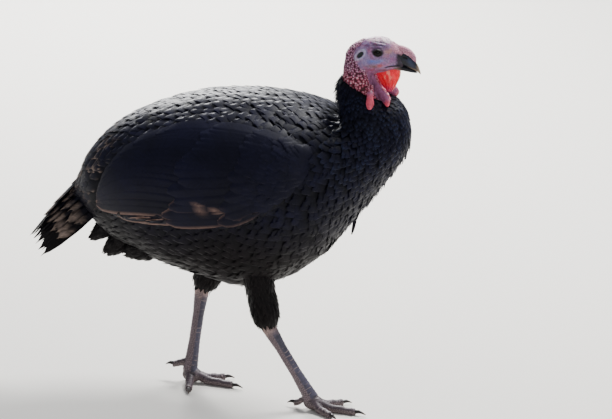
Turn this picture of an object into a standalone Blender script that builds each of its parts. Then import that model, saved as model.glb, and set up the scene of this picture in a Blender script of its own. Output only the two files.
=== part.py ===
"""Life-size model of a black domestic turkey that walks with its neck drawn in.

Metres, +Z up. The bird faces +X, its right side is -Y, and it stands on the plane z = 0.
Places are given from the ground midway between the feet, and the empty that carries every
piece moves them so that the middle of the model's box stands over the origin.
"""

import math

import bmesh
import bpy
import numpy as np
from mathutils import Euler, Matrix, Vector

GAP = 0.0003
BOX_SHIFT = 0.0395
RIGHT, LEFT = -1.0, 1.0

# Body sections from the tail to the throat: upper point x, z, lower point x, z, half width
BODY = [
    (-0.283, 0.352, -0.262, 0.292, 0.030),
    (-0.262, 0.398, -0.228, 0.264, 0.064),
    (-0.222, 0.442, -0.182, 0.242, 0.094),
    (-0.160, 0.478, -0.132, 0.224, 0.117),
    (-0.080, 0.505, -0.066, 0.207, 0.132),
    (0.000, 0.514, 0.000, 0.196, 0.137),
    (0.065, 0.511, 0.062, 0.214, 0.134),
    (0.115, 0.501, 0.124, 0.258, 0.124),
    (0.146, 0.490, 0.180, 0.326, 0.107),
    (0.156, 0.491, 0.226, 0.386, 0.087),
    (0.1510, 0.502, 0.260, 0.441, 0.066),
    (0.1455, 0.522, 0.2575, 0.490, 0.053),
    (0.1455, 0.538, 0.2440, 0.512, 0.042),
    (0.1490, 0.556, 0.2300, 0.521, 0.034),
]
BODY_BOXINESS = 2.2
KEEL = 0.10
# Rows where the neck starts and ends, and the step from ring to ring on the trunk
NECK_BASE_ROW, NECK_TOP_ROW, TORSO_STEP = 9.6, 13.0, 0.62

# The head's own frame: its origin in the body's frame, and its turn to the left
HEAD_AT = Vector((0.205, 0.0, 0.595))
HEAD_TURN = math.radians(8)

# Head sections in the head's frame: x, upper z, lower z, half width
SKULL = [
    (-0.0460, -0.0030, -0.0150, 0.0070),
    (-0.0400, 0.0080, -0.0240, 0.0140),
    (-0.0300, 0.0165, -0.0305, 0.0180),
    (-0.0150, 0.0240, -0.0335, 0.0200),
    (0.0000, 0.0275, -0.0335, 0.0200),
    (0.0120, 0.0272, -0.0315, 0.0188),
    (0.0220, 0.0245, -0.0290, 0.0165),
    (0.0320, 0.0180, -0.0268, 0.0125),
    (0.0400, 0.0110, -0.0250, 0.0095),
    (0.0460, 0.0050, -0.0225, 0.0070),
]
UPPER_BILL = [
    (0.0340, 0.0070, -0.0190, 0.0085),
    (0.0450, 0.0052, -0.0200, 0.0080),
    (0.0550, -0.0004, -0.0230, 0.0066),
    (0.0640, -0.0102, -0.0270, 0.0046),
    (0.0700, -0.0190, -0.0305, 0.0030),
    (0.0742, -0.0300, -0.0342, 0.0012),
]
LOWER_BILL = [
    (0.0300, -0.0188, -0.0265, 0.0078),
    (0.0450, -0.0196, -0.0288, 0.0068),
    (0.0580, -0.0238, -0.0314, 0.0046),
    (0.0680, -0.0285, -0.0326, 0.0020),
]
SNOOD = [
    (0.0300, 0.0210, 0.0040, 0.0035),
    (0.0380, 0.0150, -0.0010, 0.0050),
    (0.0470, 0.0125, -0.0020, 0.0052),
    (0.0560, 0.0085, -0.0060, 0.0050),
    (0.0630, 0.0015, -0.0120, 0.0046),
    (0.0670, -0.0055, -0.0140, 0.0030),
]
EYE_AT = (0.0062, 0.0136, 0.0050)
EYE_RADIUS = 0.0080
# Lids: how far out they stand on the eyeball, radius of the ring and of its roll, and how far
# their opening looks forwards and upwards
LID_OUT, LID_RING, LID_ROLL = 0.0056, 0.0062, 0.0015
LID_FACING = (0.12, 0.10)
BROW = [(-0.0060, 0.0166, 0.0105), (0.0030, 0.0172, 0.0135), (0.0130, 0.0152, 0.0110)]
BROW_RADII = [0.0014, 0.0026, 0.0014]
EAR_AT, EAR_SIZE = (-0.0210, 0.0203, 0.0015), (0.0036, 0.0035, 0.0068)
EAR_TILT = math.radians(44)
NOSTRIL_AT, NOSTRIL_SIZE = (0.0515, 0.0074, -0.0052), (0.0034, 0.0016, 0.0013)
# Line of the mouth behind the bill, on the side of the head
MOUTH_LINE = [(0.0195, 0.0134, -0.0178), (0.0270, 0.0113, -0.0188), (0.0370, 0.0086, -0.0190)]
MOUTH_RADIUS = 0.0011

# Bare throat: rear x, z, front x, z, half width
THROAT = [
    (0.1530, 0.5440, 0.2340, 0.5100, 0.0300),
    (0.1545, 0.5580, 0.2260, 0.5260, 0.0275),
    (0.1555, 0.5720, 0.2140, 0.5420, 0.0240),
    (0.1590, 0.5850, 0.2080, 0.5600, 0.0205),
    (0.1680, 0.5960, 0.2060, 0.5780, 0.0150),
]
# Round bumps of the bare skin: every other point of the surface stands out by this much
THROAT_BUMP = 0.0030
THROAT_CORNERS, THROAT_RINGS = 32, 13
NAPE_BUMP = 0.0022
# They fade between these places in x, which lie further forward towards the jaw
NAPE_REACH, NAPE_LEAN = (-0.0150, -0.0280), (0.030, 0.010)
SKULL_CORNERS, SKULL_RINGS = 22, 18
# Fleshy lobe and fold that hang from the throat on both sides: path, radii, and how flat they are
THROAT_LOBES = [
    ([(0.2045, 0.0210, 0.5470), (0.2060, 0.0305, 0.5415), (0.2072, 0.0385, 0.5310),
      (0.2080, 0.0425, 0.5215), (0.2082, 0.0435, 0.5125)],
     [0.0040, 0.0050, 0.0062, 0.0070, 0.0036], 0.9),
    ([(0.2010, 0.0130, 0.5640), (0.2085, 0.0150, 0.5500), (0.2185, 0.0190, 0.5370),
      (0.2290, 0.0250, 0.5270), (0.2330, 0.0290, 0.5200), (0.2335, 0.0300, 0.5150)],
     [0.0045, 0.0062, 0.0070, 0.0082, 0.0074, 0.0030], 0.6),
]
# Red flap under the lower bill, in the head's frame: z, rear x, front x, half thickness
DEWLAP = [
    (-0.0225, 0.0020, 0.0410, 0.0036),
    (-0.0300, 0.0020, 0.0425, 0.0036),
    (-0.0400, 0.0035, 0.0412, 0.0034),
    (-0.0500, 0.0085, 0.0368, 0.0030),
    (-0.0580, 0.0160, 0.0330, 0.0026),
    (-0.0640, 0.0225, 0.0275, 0.0018),
]
DEWLAP_FOLDS, DEWLAP_WAVE = 5, 0.35

# Leg places: knee inside the body, hock, and the middle of the foot; the turn of the inner toe
# from the foot's heading, and the heights of the hind toe's middle line. The left foot is about to
# leave the floor: its hind toe is already up and its inner toe is spread.
LEGS = {
    "R": {"side": RIGHT, "knee": (0.014, -0.058, 0.290), "hock": (0.043, -0.055, 0.139),
          "foot": (0.112, -0.045, 0.020), "heading": math.radians(-8),
          "inner": 44.0, "hind": [0.0220, 0.0200, 0.0150, 0.0100, 0.0075]},
    "L": {"side": LEFT, "knee": (-0.035, 0.058, 0.290), "hock": (-0.094, 0.055, 0.158),
          "foot": (-0.112, 0.045, 0.020), "heading": math.radians(-12),
          "inner": 66.0, "hind": [0.0340, 0.0330, 0.0310, 0.0285, 0.0260]},
}
# Drumstick: share of the way from knee to hock, half length along x, half width
DRUMSTICK = [(0.00, 0.030, 0.026), (0.35, 0.0240, 0.0250), (0.62, 0.0205, 0.0230),
             (0.82, 0.0214, 0.0208), (0.93, 0.0185, 0.0172), (1.00, 0.0115, 0.0105)]
# Shank: share of the way from hock to foot, half depth, half width
SHANK = [(-0.10, 0.0080, 0.0075), (0.02, 0.0118, 0.0100), (0.10, 0.0112, 0.0092),
         (0.30, 0.0090, 0.0074), (0.65, 0.0090, 0.0074), (0.88, 0.0108, 0.0092),
         (1.00, 0.0118, 0.0118), (1.08, 0.0090, 0.0095)]
# Toes: turn from the foot's heading (towards the body's midline; the inner one's is each leg's
# own), length, claw length
TOES = {"middle": (0.0, 0.078, 0.017), "inner": (None, 0.056, 0.015),
        "outer": (-34.0, 0.058, 0.015), "hind": (176.0, 0.030, 0.013)}
# Plates down the front of each shank: how many, the share of the shank that they cover, and how
# far the lower edge of each stands out
SCUTE_COUNT, SCUTE_REACH, SCUTE_RISE = 11, (0.08, 0.92), 0.0013
TOE_ROOT_RADIUS, TOE_TIP_RADIUS = 0.0074, 0.0048
# How far the toe's round underside is cut off flat by the floor, how many points its middle line
# has, and the heights of the first two of a front toe's
TOE_SINK, TOE_POINTS = 0.0008, 5
FRONT_TOE_HEIGHTS = [0.0150, 0.0105]
TOE_START = 0.04
# Claw: how far its root lies inside the toe, radii, bulge above and droop of the tip
CLAW_ROOT, CLAW_RADII = 0.004, [0.0036, 0.0026, 0.0005]
CLAW_RISE, CLAW_DROOP = 0.0012, 0.0020

WING_FRONT_ROW, WING_REAR_ROW = 7.35, 1.30
# Wing outline in degrees round the body, from its front (first) to its tip (last)
WING_UPPER = [58.0, 48.0, 43.0, 42.0, 45.0, 55.0, 78.0]
WING_LOWER = [64.0, 85.0, 94.0, 98.0, 100.0, 101.0, 97.0]
WING_THICK = [0.0015, 0.0085, 0.0120, 0.0120, 0.0100, 0.0065, 0.002]
# Share of the thickness that is left at the wing's edges, and the part of a half sine wave that
# gives its bulge from the upper edge to the lower
WING_RIM, WING_ARCH = 0.22, (0.08, 0.81)
# How deep the wing's inner sheet lies in the body
WING_SINK = 0.003

# Wing feathers in tiers. Roots and tips run from the highest feather to the lowest, as shares of
# the wing from front to tip and from upper to lower edge. The lifts are those of the first and the
# last feather over the wing, at mid length and at the tip.
WING_TIERS = [
    {"name": "primary", "count": 2, "roots": [(0.50, 0.93), (0.53, 0.95), (0.56, 0.97)],
     "tips": [(0.995, 0.84), (0.93, 0.94), (0.85, 0.995)], "half": 0.0085,
     "lifts": [(0.0030, 0.0030), (0.0008, 0.0008)], "outline": "flight", "shingle": 2.0},
    {"name": "secondary", "count": 7, "roots": [(0.38, 0.08), (0.44, 0.38), (0.49, 0.84)],
     "tips": [(0.66, 0.00), (0.79, 0.01), (0.90, 0.10), (0.965, 0.30), (0.995, 0.68)],
     "half": 0.0140, "lifts": [(0.0022, 0.0024), (0.0022, 0.0024)], "outline": "flight",
     "shingle": 6.0},
    {"name": "greater", "count": 7, "roots": [(0.17, 0.10), (0.24, 0.45), (0.32, 0.92)],
     "tips": [(0.45, 0.02), (0.52, 0.42), (0.58, 0.96)], "half": 0.0140,
     "lifts": [(0.0024, 0.0034), (0.0024, 0.0034)], "outline": "covert", "shingle": 6.0},
    {"name": "median", "count": 5, "roots": [(0.03, 0.30), (0.06, 0.50), (0.11, 0.80)],
     "tips": [(0.25, 0.05), (0.30, 0.42), (0.37, 0.96)], "half": 0.0170,
     "lifts": [(0.0024, 0.0034), (0.0024, 0.0034)], "outline": "covert", "shingle": 6.0},
]
# Depth of a feather's root in the core, and the share of the wing's bulge that the core lacks
ROOT_SINK, CORE_DEPTH = 0.0024, 0.38

# Tail: middle line of its upper side as x, z, and the way its sides hang from there
TAIL_RIDGE = [(-0.236, 0.374), (-0.272, 0.348), (-0.306, 0.313), (-0.337, 0.279), (-0.361, 0.247)]
TAIL_HANG = Vector((0.60, 0.0, -0.80))
# Pairs of feathers, the ridge's shares they reach over, and how much each next pair falls short
TAIL_PAIRS, TAIL_REACH, TAIL_SHORTER = 7, (0.16, 1.0), 0.012
# The stump they grow from: share of the ridge, half width, depth; and how far below the ridge
TAIL_CORE = [(-0.05, 0.036, 0.062), (0.20, 0.036, 0.060), (0.38, 0.032, 0.052), (0.50, 0.020, 0.034)]
TAIL_CORE_TOP = 0.004
# How far the outermost pair hangs at the root and how much less at the tip, the step between pairs,
# and the first pair's place off the middle with the step between pairs at the root and its gain
TAIL_DROP, TAIL_DROP_LOSS, TAIL_STEP = 0.042, 0.018, 0.0012
TAIL_FIRST, TAIL_SPREAD = 0.0008, 0.0036
# Turn of the first pair from level and of each next pair from the one before, in degrees
TAIL_SLOPE, TAIL_SLOPE_STEP = 6.0, 8.5
# Half width of a feather, the share of it on its inner side, and the right ones' lift over the left
TAIL_HALF_WIDTH, TAIL_INNER_SHARE, TAIL_CROSSING = 0.0150, 0.5, 0.0014
# Upper tail coverts in tiers: pairs, share of the ridge at root and tip, half width, lift
TAIL_COVERTS = [(4, 0.36, 0.74, 0.0150, 0.0028), (3, 0.12, 0.52, 0.0170, 0.0050)]

# Tufts under the tail and on the vent, the same on both sides: root x, y, z and tip x, y, z
VENT_TUFTS = [
    ((-0.222, 0.016, 0.292), (-0.262, 0.014, 0.250), [0.018, 0.019, 0.013, 0.004]),
    ((-0.192, 0.018, 0.276), (-0.241, 0.016, 0.225), [0.024, 0.024, 0.016, 0.004]),
    ((-0.150, 0.034, 0.262), (-0.206, 0.030, 0.236), [0.026, 0.028, 0.020, 0.005]),
]

# A feather's outline: share of its length and of its half width
OUTLINES = {
    "flight": [(0.00, 0.28), (0.30, 0.92), (0.70, 1.00), (0.93, 0.72), (1.00, 0.25)],
    "covert": [(0.00, 0.30), (0.45, 1.00), (0.86, 0.85), (1.00, 0.30)],
}
# Thickness of a feather at its edge and at its shaft
VANE_EDGE, VANE_RIDGE = 0.0006, 0.0014

BEARD = [(0.1640, 0.3500, 0.0050), (0.1715, 0.3330, 0.0048), (0.1730, 0.3150, 0.0040),
         (0.1705, 0.2980, 0.0026), (0.1680, 0.2860, 0.0012)]

MATERIALS = {
    "black_plumage": ((0.012, 0.012, 0.018), 0.45, 0.0),
    "pink_skin": ((0.46, 0.16, 0.20), 0.55, 0.0),
    "red_skin": ((0.62, 0.04, 0.06), 0.45, 0.0),
    "dark_bill": ((0.035, 0.030, 0.035), 0.40, 0.0),
    "eye": ((0.010, 0.007, 0.005), 0.08, 0.0),
    "leg_scales": ((0.16, 0.13, 0.14), 0.55, 0.0),
    "claw": ((0.05, 0.04, 0.035), 0.45, 0.0),
}


def smooth(table, at):
    """The row number `at` of a table, read from a smooth curve through its rows."""
    rows = np.asarray(table, float)
    last = len(rows) - 1
    i = min(max(int(at), 0), last - 1)
    f = at - i
    before, start, end, after = rows[max(i - 1, 0)], rows[i], rows[i + 1], rows[min(i + 2, last)]
    return 0.5 * (2 * start + (end - before) * f + (2 * before - 5 * start + 4 * end - after) * f**2
                  + (3 * start - before - 3 * end + after) * f**3)


def bent(value, power):
    """A cosine or sine raised to a power with its sign kept."""
    return math.copysign(abs(value) ** power, value)


def body_skin(row, turn, side):
    """A point of the body's skin; turn runs from the back (0) by the flank to the belly (180)."""
    top_x, top_z, low_x, low_z, half = smooth(BODY, row)
    c = bent(math.cos(math.radians(turn)), 2 / BODY_BOXINESS)
    s = bent(math.sin(math.radians(turn)), 2 / BODY_BOXINESS)
    half *= 1 - KEEL * (1 - c) / 2
    return Vector(((top_x + low_x) / 2 + (top_x - low_x) / 2 * c, side * half * s,
                   (top_z + low_z) / 2 + (top_z - low_z) / 2 * c))


def body_normal(row, turn, side):
    along = body_skin(row + 0.02, turn, side) - body_skin(row - 0.02, turn, side)
    round_ = body_skin(row, turn + 1, side) - body_skin(row, turn - 1, side)
    return (along.cross(round_) * side).normalized()


def body_ring(row, corners=20):
    turns = [360 * i / corners for i in range(corners)]
    return [body_skin(row, t if t <= 180 else 360 - t, RIGHT if t <= 180 else LEFT) for t in turns]


def head_place():
    return Matrix.Translation(HEAD_AT) @ Matrix.Rotation(HEAD_TURN, 4, "Z")


def material(name):
    found = bpy.data.materials.get(name)
    if found:
        return found
    colour, roughness, metallic = MATERIALS[name]
    made = bpy.data.materials.new(name)
    made.use_nodes = True
    surface = made.node_tree.nodes["Principled BSDF"]
    surface.inputs["Base Color"].default_value = (*colour, 1)
    surface.inputs["Roughness"].default_value = roughness
    surface.inputs["Metallic"].default_value = metallic
    return made


def add_object(name, bm, finish, collection):
    """Puts a closed bmesh in the scene, in triangles, its faces turned outwards."""
    bmesh.ops.triangulate(bm, faces=bm.faces)
    bmesh.ops.recalc_face_normals(bm, faces=bm.faces)
    mesh = bpy.data.meshes.new(name)
    bm.to_mesh(mesh)
    bm.free()
    mesh.materials.append(material(finish))
    made = bpy.data.objects.new(name, mesh)
    collection.objects.link(made)
    return made


def loft(name, rings, finish, collection, fans=True, bumpy=False):
    """A closed solid through rings of equally many points, each end a fan or one flat face.

    On a bumpy one every other point is raised, and each four-sided patch is split between its
    two low corners, so that each raised point is a bump of its own.
    """
    bm = bmesh.new()
    rows = [[bm.verts.new(p) for p in ring] for ring in rings]
    count = len(rows[0])
    for j, (a, b) in enumerate(zip(rows, rows[1:])):
        for i in range(count):
            patch = (a[i], a[(i + 1) % count], b[(i + 1) % count], b[i])
            if not bumpy:
                bm.faces.new(patch)
                continue
            shift = (i + j) % 2
            bm.faces.new([patch[(k + shift) % 4] for k in (0, 1, 2)])
            bm.faces.new([patch[(k + shift) % 4] for k in (0, 2, 3)])
    for ring in (rows[0], rows[-1]):
        if not fans:
            bm.faces.new(ring)
            continue
        middle = bm.verts.new(sum((v.co for v in ring), Vector()) / count)
        for i in range(count):
            bm.faces.new((ring[i], ring[(i + 1) % count], middle))
    return add_object(name, bm, finish, collection)


def upright_rings(table, count, corners, place=None, boxiness=2.0, low_share=1.0):
    """Rings square to X from rows of x, upper z, lower z, half width."""
    rings = []
    for i in range(count):
        x, top, low, half = smooth(table, (len(table) - 1) * i / (count - 1))
        ring = []
        for k in range(corners):
            a = 2 * math.pi * k / corners
            c, s = bent(math.cos(a), 2 / boxiness), bent(math.sin(a), 2 / boxiness)
            share = 1 if c > 0 else 1 - (1 - low_share) * -c
            point = Vector((x, half * s * share, (top + low) / 2 + (top - low) / 2 * c))
            ring.append(place @ point if place else point)
        rings.append(ring)
    return rings


def limb_rings(start, end, table, count, corners):
    """Rings along the line from start to end, from rows of share, half depth, half width."""
    start, end = Vector(start), Vector(end)
    line = (end - start).normalized()
    across = line.cross(Vector((1, 0, 0))).normalized()
    depth = across.cross(line).normalized()
    rings = []
    for i in range(count):
        share, half_depth, half_width = smooth(table, (len(table) - 1) * i / (count - 1))
        middle = start.lerp(end, share)
        rings.append([middle + depth * half_depth * math.cos(a) + across * half_width * math.sin(a)
                      for a in (2 * math.pi * k / corners for k in range(corners))])
    return rings


def tube_rings(points, radii, corners, flatten=1.0):
    """Rings along a path of points, each square to it; flatten scales them sideways."""
    rings = []
    for i, (point, radius) in enumerate(zip(points, radii)):
        line = (points[min(i + 1, len(points) - 1)] - points[max(i - 1, 0)]).normalized()
        side = line.cross(Vector((0, 0, 1)))
        side = side.normalized() if side.length > 0.05 else Vector((0, 1, 0))
        up = side.cross(line).normalized()
        rings.append([point + side * flatten * radius * math.cos(a) + up * radius * math.sin(a)
                      for a in (2 * math.pi * k / corners for k in range(corners))])
    return rings


def blade(name, middles, normals, outline, half, roll, finish, collection):
    """A feather along its middle line: flat, with a raised shaft, its vane turned by roll."""
    rings = []
    last = len(middles) - 1
    for i, (middle, normal, (_, width)) in enumerate(zip(middles, normals, outline)):
        line = (middles[min(i + 1, last)] - middles[max(i - 1, 0)]).normalized()
        turned = Matrix.Rotation(roll if i else 0, 3, line)
        across = turned @ line.cross(normal).normalized()
        up = across.cross(line)
        edge = across * half * width
        rings.append([middle - edge + up * VANE_EDGE / 2, middle + up * VANE_RIDGE / 2,
                      middle + edge + up * VANE_EDGE / 2, middle + edge - up * VANE_EDGE / 2,
                      middle - edge - up * VANE_EDGE / 2])
    return loft(name, rings, finish, collection, fans=False)


def keep_largest(obj):
    """Leaves only the largest closed surface of a mesh."""
    bm = bmesh.new()
    bm.from_mesh(obj.data)
    left, shells = set(bm.faces), []
    while left:
        shell, front = set(), [left.pop()]
        while front:
            face = front.pop()
            shell.add(face)
            for edge in face.edges:
                for other in edge.link_faces:
                    if other in left:
                        left.discard(other)
                        front.append(other)
        shells.append(shell)
    if len(shells) > 1:
        shells.sort(key=lambda shell: -sum(f.calc_area() for f in shell))
        doomed = [f for shell in shells[1:] for f in shell]
        bmesh.ops.delete(bm, geom=doomed, context="FACES")
        loose = [v for v in bm.verts if not v.link_faces]
        bmesh.ops.delete(bm, geom=loose, context="VERTS")
        bm.to_mesh(obj.data)
    bm.free()


def apply_boolean(obj, operation, other=None, pieces=None):
    """Joins or cuts obj with one object or a collection. EXACT loses the near-tangent cuts here."""
    modifier = obj.modifiers.new("boolean", "BOOLEAN")
    modifier.operation = operation
    modifier.solver = "MANIFOLD"
    if pieces:
        modifier.operand_type = "COLLECTION"
        modifier.collection = pieces
    else:
        modifier.object = other
    graph = bpy.context.evaluated_depsgraph_get()
    made = bpy.data.meshes.new_from_object(obj.evaluated_get(graph))
    obj.modifiers.clear()
    obj.data = made
    keep_largest(obj)


def grown(obj, collection):
    """A copy of obj, every face moved out by GAP."""
    bm = bmesh.new()
    bm.from_mesh(obj.data)
    bm.normal_update()
    moves = [v.normal * GAP * min(v.calc_shell_factor(), 2.0) for v in bm.verts]
    for v, move in zip(bm.verts, moves):
        v.co += move
    return add_object("grown_" + obj.name, bm, obj.data.materials[0].name, collection)


def trim(obj, *others):
    """Cuts obj back so that it keeps GAP to the others."""
    for other in others:
        cutter = grown(other, obj.users_collection[0])
        apply_boolean(obj, "DIFFERENCE", cutter)
        bpy.data.objects.remove(cutter)


def fuse(obj, pieces):
    """Joins the pieces to obj with one union, and removes them."""
    apply_boolean(obj, "UNION", pieces=pieces)
    for piece in list(pieces.objects):
        bpy.data.objects.remove(piece)
    bpy.data.collections.remove(pieces)


def carve(obj, cutter):
    apply_boolean(obj, "DIFFERENCE", cutter)
    bpy.data.objects.remove(cutter)


def ball(name, at, size, turn, finish, collection):
    """An ellipsoid: its middle, its three half sizes and its turn as an Euler."""
    bm = bmesh.new()
    bmesh.ops.create_icosphere(bm, subdivisions=2, radius=1)
    place = Matrix.LocRotScale(Vector(at), turn, Vector(size))
    bmesh.ops.transform(bm, matrix=place, verts=bm.verts)
    return add_object(name, bm, finish, collection)


def make_torso(bird):
    rows = [0.0, 0.5, *[1 + TORSO_STEP * i for i in range(14)], NECK_BASE_ROW]
    torso = loft("torso", [body_ring(r) for r in rows], "black_plumage", bird)
    pieces = bpy.data.collections.new("vent tufts")
    for i, (root, tip, radii) in enumerate(VENT_TUFTS):
        for side in (RIGHT, LEFT):
            ends = [Vector((x, side * y, z)) for x, y, z in (root, tip)]
            points = [ends[0].lerp(ends[1], k / (len(radii) - 1)) for k in range(len(radii))]
            loft(f"vent_{i}", tube_rings(points, radii, 8, 1.25), "black_plumage", pieces)
    fuse(torso, pieces)
    return torso


def make_neck(bird):
    rows = [NECK_BASE_ROW + (NECK_TOP_ROW - NECK_BASE_ROW) * i / 5 for i in range(6)]
    rings = [body_ring(r) for r in rows]
    base = rings[0]
    normal = (base[5] - base[0]).cross(base[10] - base[0]).normalized()
    if normal.dot(rings[1][10] - base[10]) < 0:
        normal = -normal
    rings[0] = [p + normal * GAP for p in base]
    return loft("neck", rings, "black_plumage", bird)


def throat_point(level, turn, side):
    """A point of the bare throat: level from its foot (0) to the jaw (1), turn from the nape."""
    back_x, back_z, front_x, front_z, width = smooth(THROAT, (len(THROAT) - 1) * level)
    share = (1 - math.cos(turn)) / 2
    return Vector((back_x + (front_x - back_x) * share, side * width * math.sin(turn),
                   back_z + (front_z - back_z) * share))


def make_throat(bird):
    """The throat in staggered round bumps, with its lobes and folds."""
    rings = []
    for i in range(THROAT_RINGS):
        ring = []
        for k in range(THROAT_CORNERS):
            turn = 2 * math.pi * k / THROAT_CORNERS
            point = throat_point(i / (THROAT_RINGS - 1), turn, 1)
            out = Vector((-math.cos(turn), math.sin(turn), 0))
            ring.append(point + out * THROAT_BUMP * ((i + k) % 2 - 0.5))
        rings.append(ring)
    throat = loft("throat", rings, "pink_skin", bird, bumpy=True)
    pieces = bpy.data.collections.new("lobes")
    for path, radii, flatten in THROAT_LOBES:
        for side in (RIGHT, LEFT):
            points = [Vector((x, side * y, z)) for x, y, z in path]
            loft("lobe", tube_rings(points, radii, 8, flatten), "pink_skin", pieces)
    fuse(throat, pieces)
    return throat


def make_skull(bird):
    """The skull, its nape in staggered bumps that fade towards the face."""
    place = head_place()
    rings = upright_rings(SKULL, SKULL_RINGS, SKULL_CORNERS, None, 2.1)
    for i, ring in enumerate(rings):
        middle = sum(ring, Vector()) / len(ring)
        for k, point in enumerate(ring):
            down = (middle.z - point.z) / (NAPE_LEAN[0] + abs(point.z - middle.z))
            share = np.interp(point.x - NAPE_LEAN[1] * down, NAPE_REACH[::-1], (1, 0))
            out = (point - middle).normalized()
            ring[k] = place @ (point + out * NAPE_BUMP * share * ((i + k) % 2))
    return loft("head", rings, "pink_skin", bird, bumpy=True)


def ring_tube(name, middle, axis, ring_radius, roll_radius, finish, collection):
    """A closed ring of round section about an axis."""
    bm = bmesh.new()
    around, section = 12, 5
    turn = axis.to_track_quat("Z", "Y").to_matrix()
    rows = []
    for i in range(around):
        a = 2 * math.pi * i / around
        out = turn @ Vector((math.cos(a), math.sin(a), 0))
        rows.append([bm.verts.new(middle + out * (ring_radius + roll_radius * math.cos(b))
                                  + axis * roll_radius * math.sin(b))
                     for b in (2 * math.pi * k / section for k in range(section))])
    for i in range(around):
        for k in range(section):
            n, m = (i + 1) % around, (k + 1) % section
            bm.faces.new((rows[i][k], rows[n][k], rows[n][m], rows[i][m]))
    return add_object(name, bm, finish, collection)


def make_head(bird):
    """The skull with its lids and brows, then the ears and the mouth line cut in."""
    place = head_place()
    head = make_skull(bird)
    pieces = bpy.data.collections.new("head details")
    for side in (RIGHT, LEFT):
        out = Vector((LID_FACING[0], side, LID_FACING[1])).normalized()
        eye = Vector((EYE_AT[0], side * EYE_AT[1], EYE_AT[2]))
        ring_tube("lid", place @ (eye + out * LID_OUT), place.to_3x3() @ out, LID_RING, LID_ROLL,
                  "pink_skin", pieces)
        brow = [place @ Vector((x, side * y, z)) for x, y, z in BROW]
        loft("brow", tube_rings(brow, BROW_RADII, 6), "pink_skin", pieces)
    fuse(head, pieces)
    for side in (RIGHT, LEFT):
        ear = Vector((EAR_AT[0], side * EAR_AT[1], EAR_AT[2]))
        carve(head, ball("ear", place @ ear, EAR_SIZE, Euler((0, EAR_TILT, 0)), "pink_skin", bird))
        line = [place @ Vector((x, side * y, z)) for x, y, z in MOUTH_LINE]
        carve(head, loft("mouth", tube_rings(line, [MOUTH_RADIUS] * 3, 6), "pink_skin", bird))
    return head


def make_eyes(bird):
    eyes = []
    for label, side in (("R", RIGHT), ("L", LEFT)):
        at = head_place() @ Vector((EYE_AT[0], side * EYE_AT[1], EYE_AT[2]))
        eyes.append(ball("eye_" + label, at, (EYE_RADIUS,) * 3, None, "eye", bird))
    return eyes


def make_face(bird, neck):
    """The head and what grows from it, each piece cut back from the whole of its neighbours."""
    head, throat, dewlap = make_head(bird), make_throat(bird), make_dewlap(bird)
    upper, lower, snood = make_bill(bird)
    trim(dewlap, head, lower, throat, neck)
    trim(throat, neck, head)
    trim(lower, head, upper)
    trim(snood, head, upper)
    trim(upper, head)
    trim(head, *make_eyes(bird))


def make_bill(bird):
    place = head_place()
    upper = loft("bill_upper", upright_rings(UPPER_BILL, 7, 10, place), "dark_bill", bird)
    for side in (RIGHT, LEFT):
        nostril = Vector((NOSTRIL_AT[0], side * NOSTRIL_AT[1], NOSTRIL_AT[2]))
        carve(upper, ball("nostril", place @ nostril, NOSTRIL_SIZE, None, "dark_bill", bird))
    lower = loft("bill_lower", upright_rings(LOWER_BILL, 5, 10, place, low_share=0.6),
                 "dark_bill", bird)
    snood = loft("snood", upright_rings(SNOOD, 8, 8, place), "pink_skin", bird)
    return upper, lower, snood


def make_dewlap(bird):
    """The thin red flap, its thickness waving from back to front in upright folds."""
    place = head_place()
    corners, rings = 20, []
    for i in range(7):
        z, rear, front, half = smooth(DEWLAP, (len(DEWLAP) - 1) * i / 6)
        ring = []
        for k in range(corners):
            a = 2 * math.pi * k / corners
            fold = 1 + DEWLAP_WAVE * math.cos(DEWLAP_FOLDS * math.pi * math.cos(a))
            ring.append(place @ Vector(((rear + front) / 2 + (front - rear) / 2 * math.cos(a),
                                        half * fold * bent(math.sin(a), 0.8), z)))
        rings.append(ring)
    return loft("dewlap", rings, "red_skin", bird)


def wing_span(a):
    """Row of the body, upper and lower turn and thickness at share a from front to tip."""
    at = (len(WING_UPPER) - 1) * a
    row = WING_FRONT_ROW + (WING_REAR_ROW - WING_FRONT_ROW) * a
    upper, lower, thick = (float(smooth([[v] for v in t], at)[0])
                           for t in (WING_UPPER, WING_LOWER, WING_THICK))
    return row, upper, lower, thick


def wing_point(side, a, b, lift=0.0, depth=0.0):
    """A point on the folded wing: a from front to tip, b from upper to lower edge.

    Lift is added to the wing's bulge over the body, and depth takes a share of it away.
    """
    row, upper, lower, thick = wing_span(min(max(a, 0), 1))
    turn = upper + (lower - upper) * b
    first, last = WING_ARCH
    arch = math.sin(math.pi * min(max(first + (last - first) * b, 0), 1)) ** 0.8
    bulge = thick * (WING_RIM + (1 - WING_RIM) * arch)
    return body_skin(row, turn, side) + body_normal(row, turn, side) * (bulge * (1 - depth) + lift)


def wing_core(name, side, bird):
    """The wing without feathers: an outer sheet over the body and an inner one sunk in it."""
    along, across = 10, 6
    rings = []
    for i in range(along):
        a = i / (along - 1)
        row, upper, lower, _ = wing_span(a)
        outer = [wing_point(side, a, k / (across - 1), depth=CORE_DEPTH) for k in range(across)]
        inner = []
        for k in reversed(range(across)):
            turn = upper + (lower - upper) * k / (across - 1)
            inner.append(body_skin(row, turn, side) - body_normal(row, turn, side) * WING_SINK)
        rings.append(outer + inner)
    return loft(name, rings, "black_plumage", bird)


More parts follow.
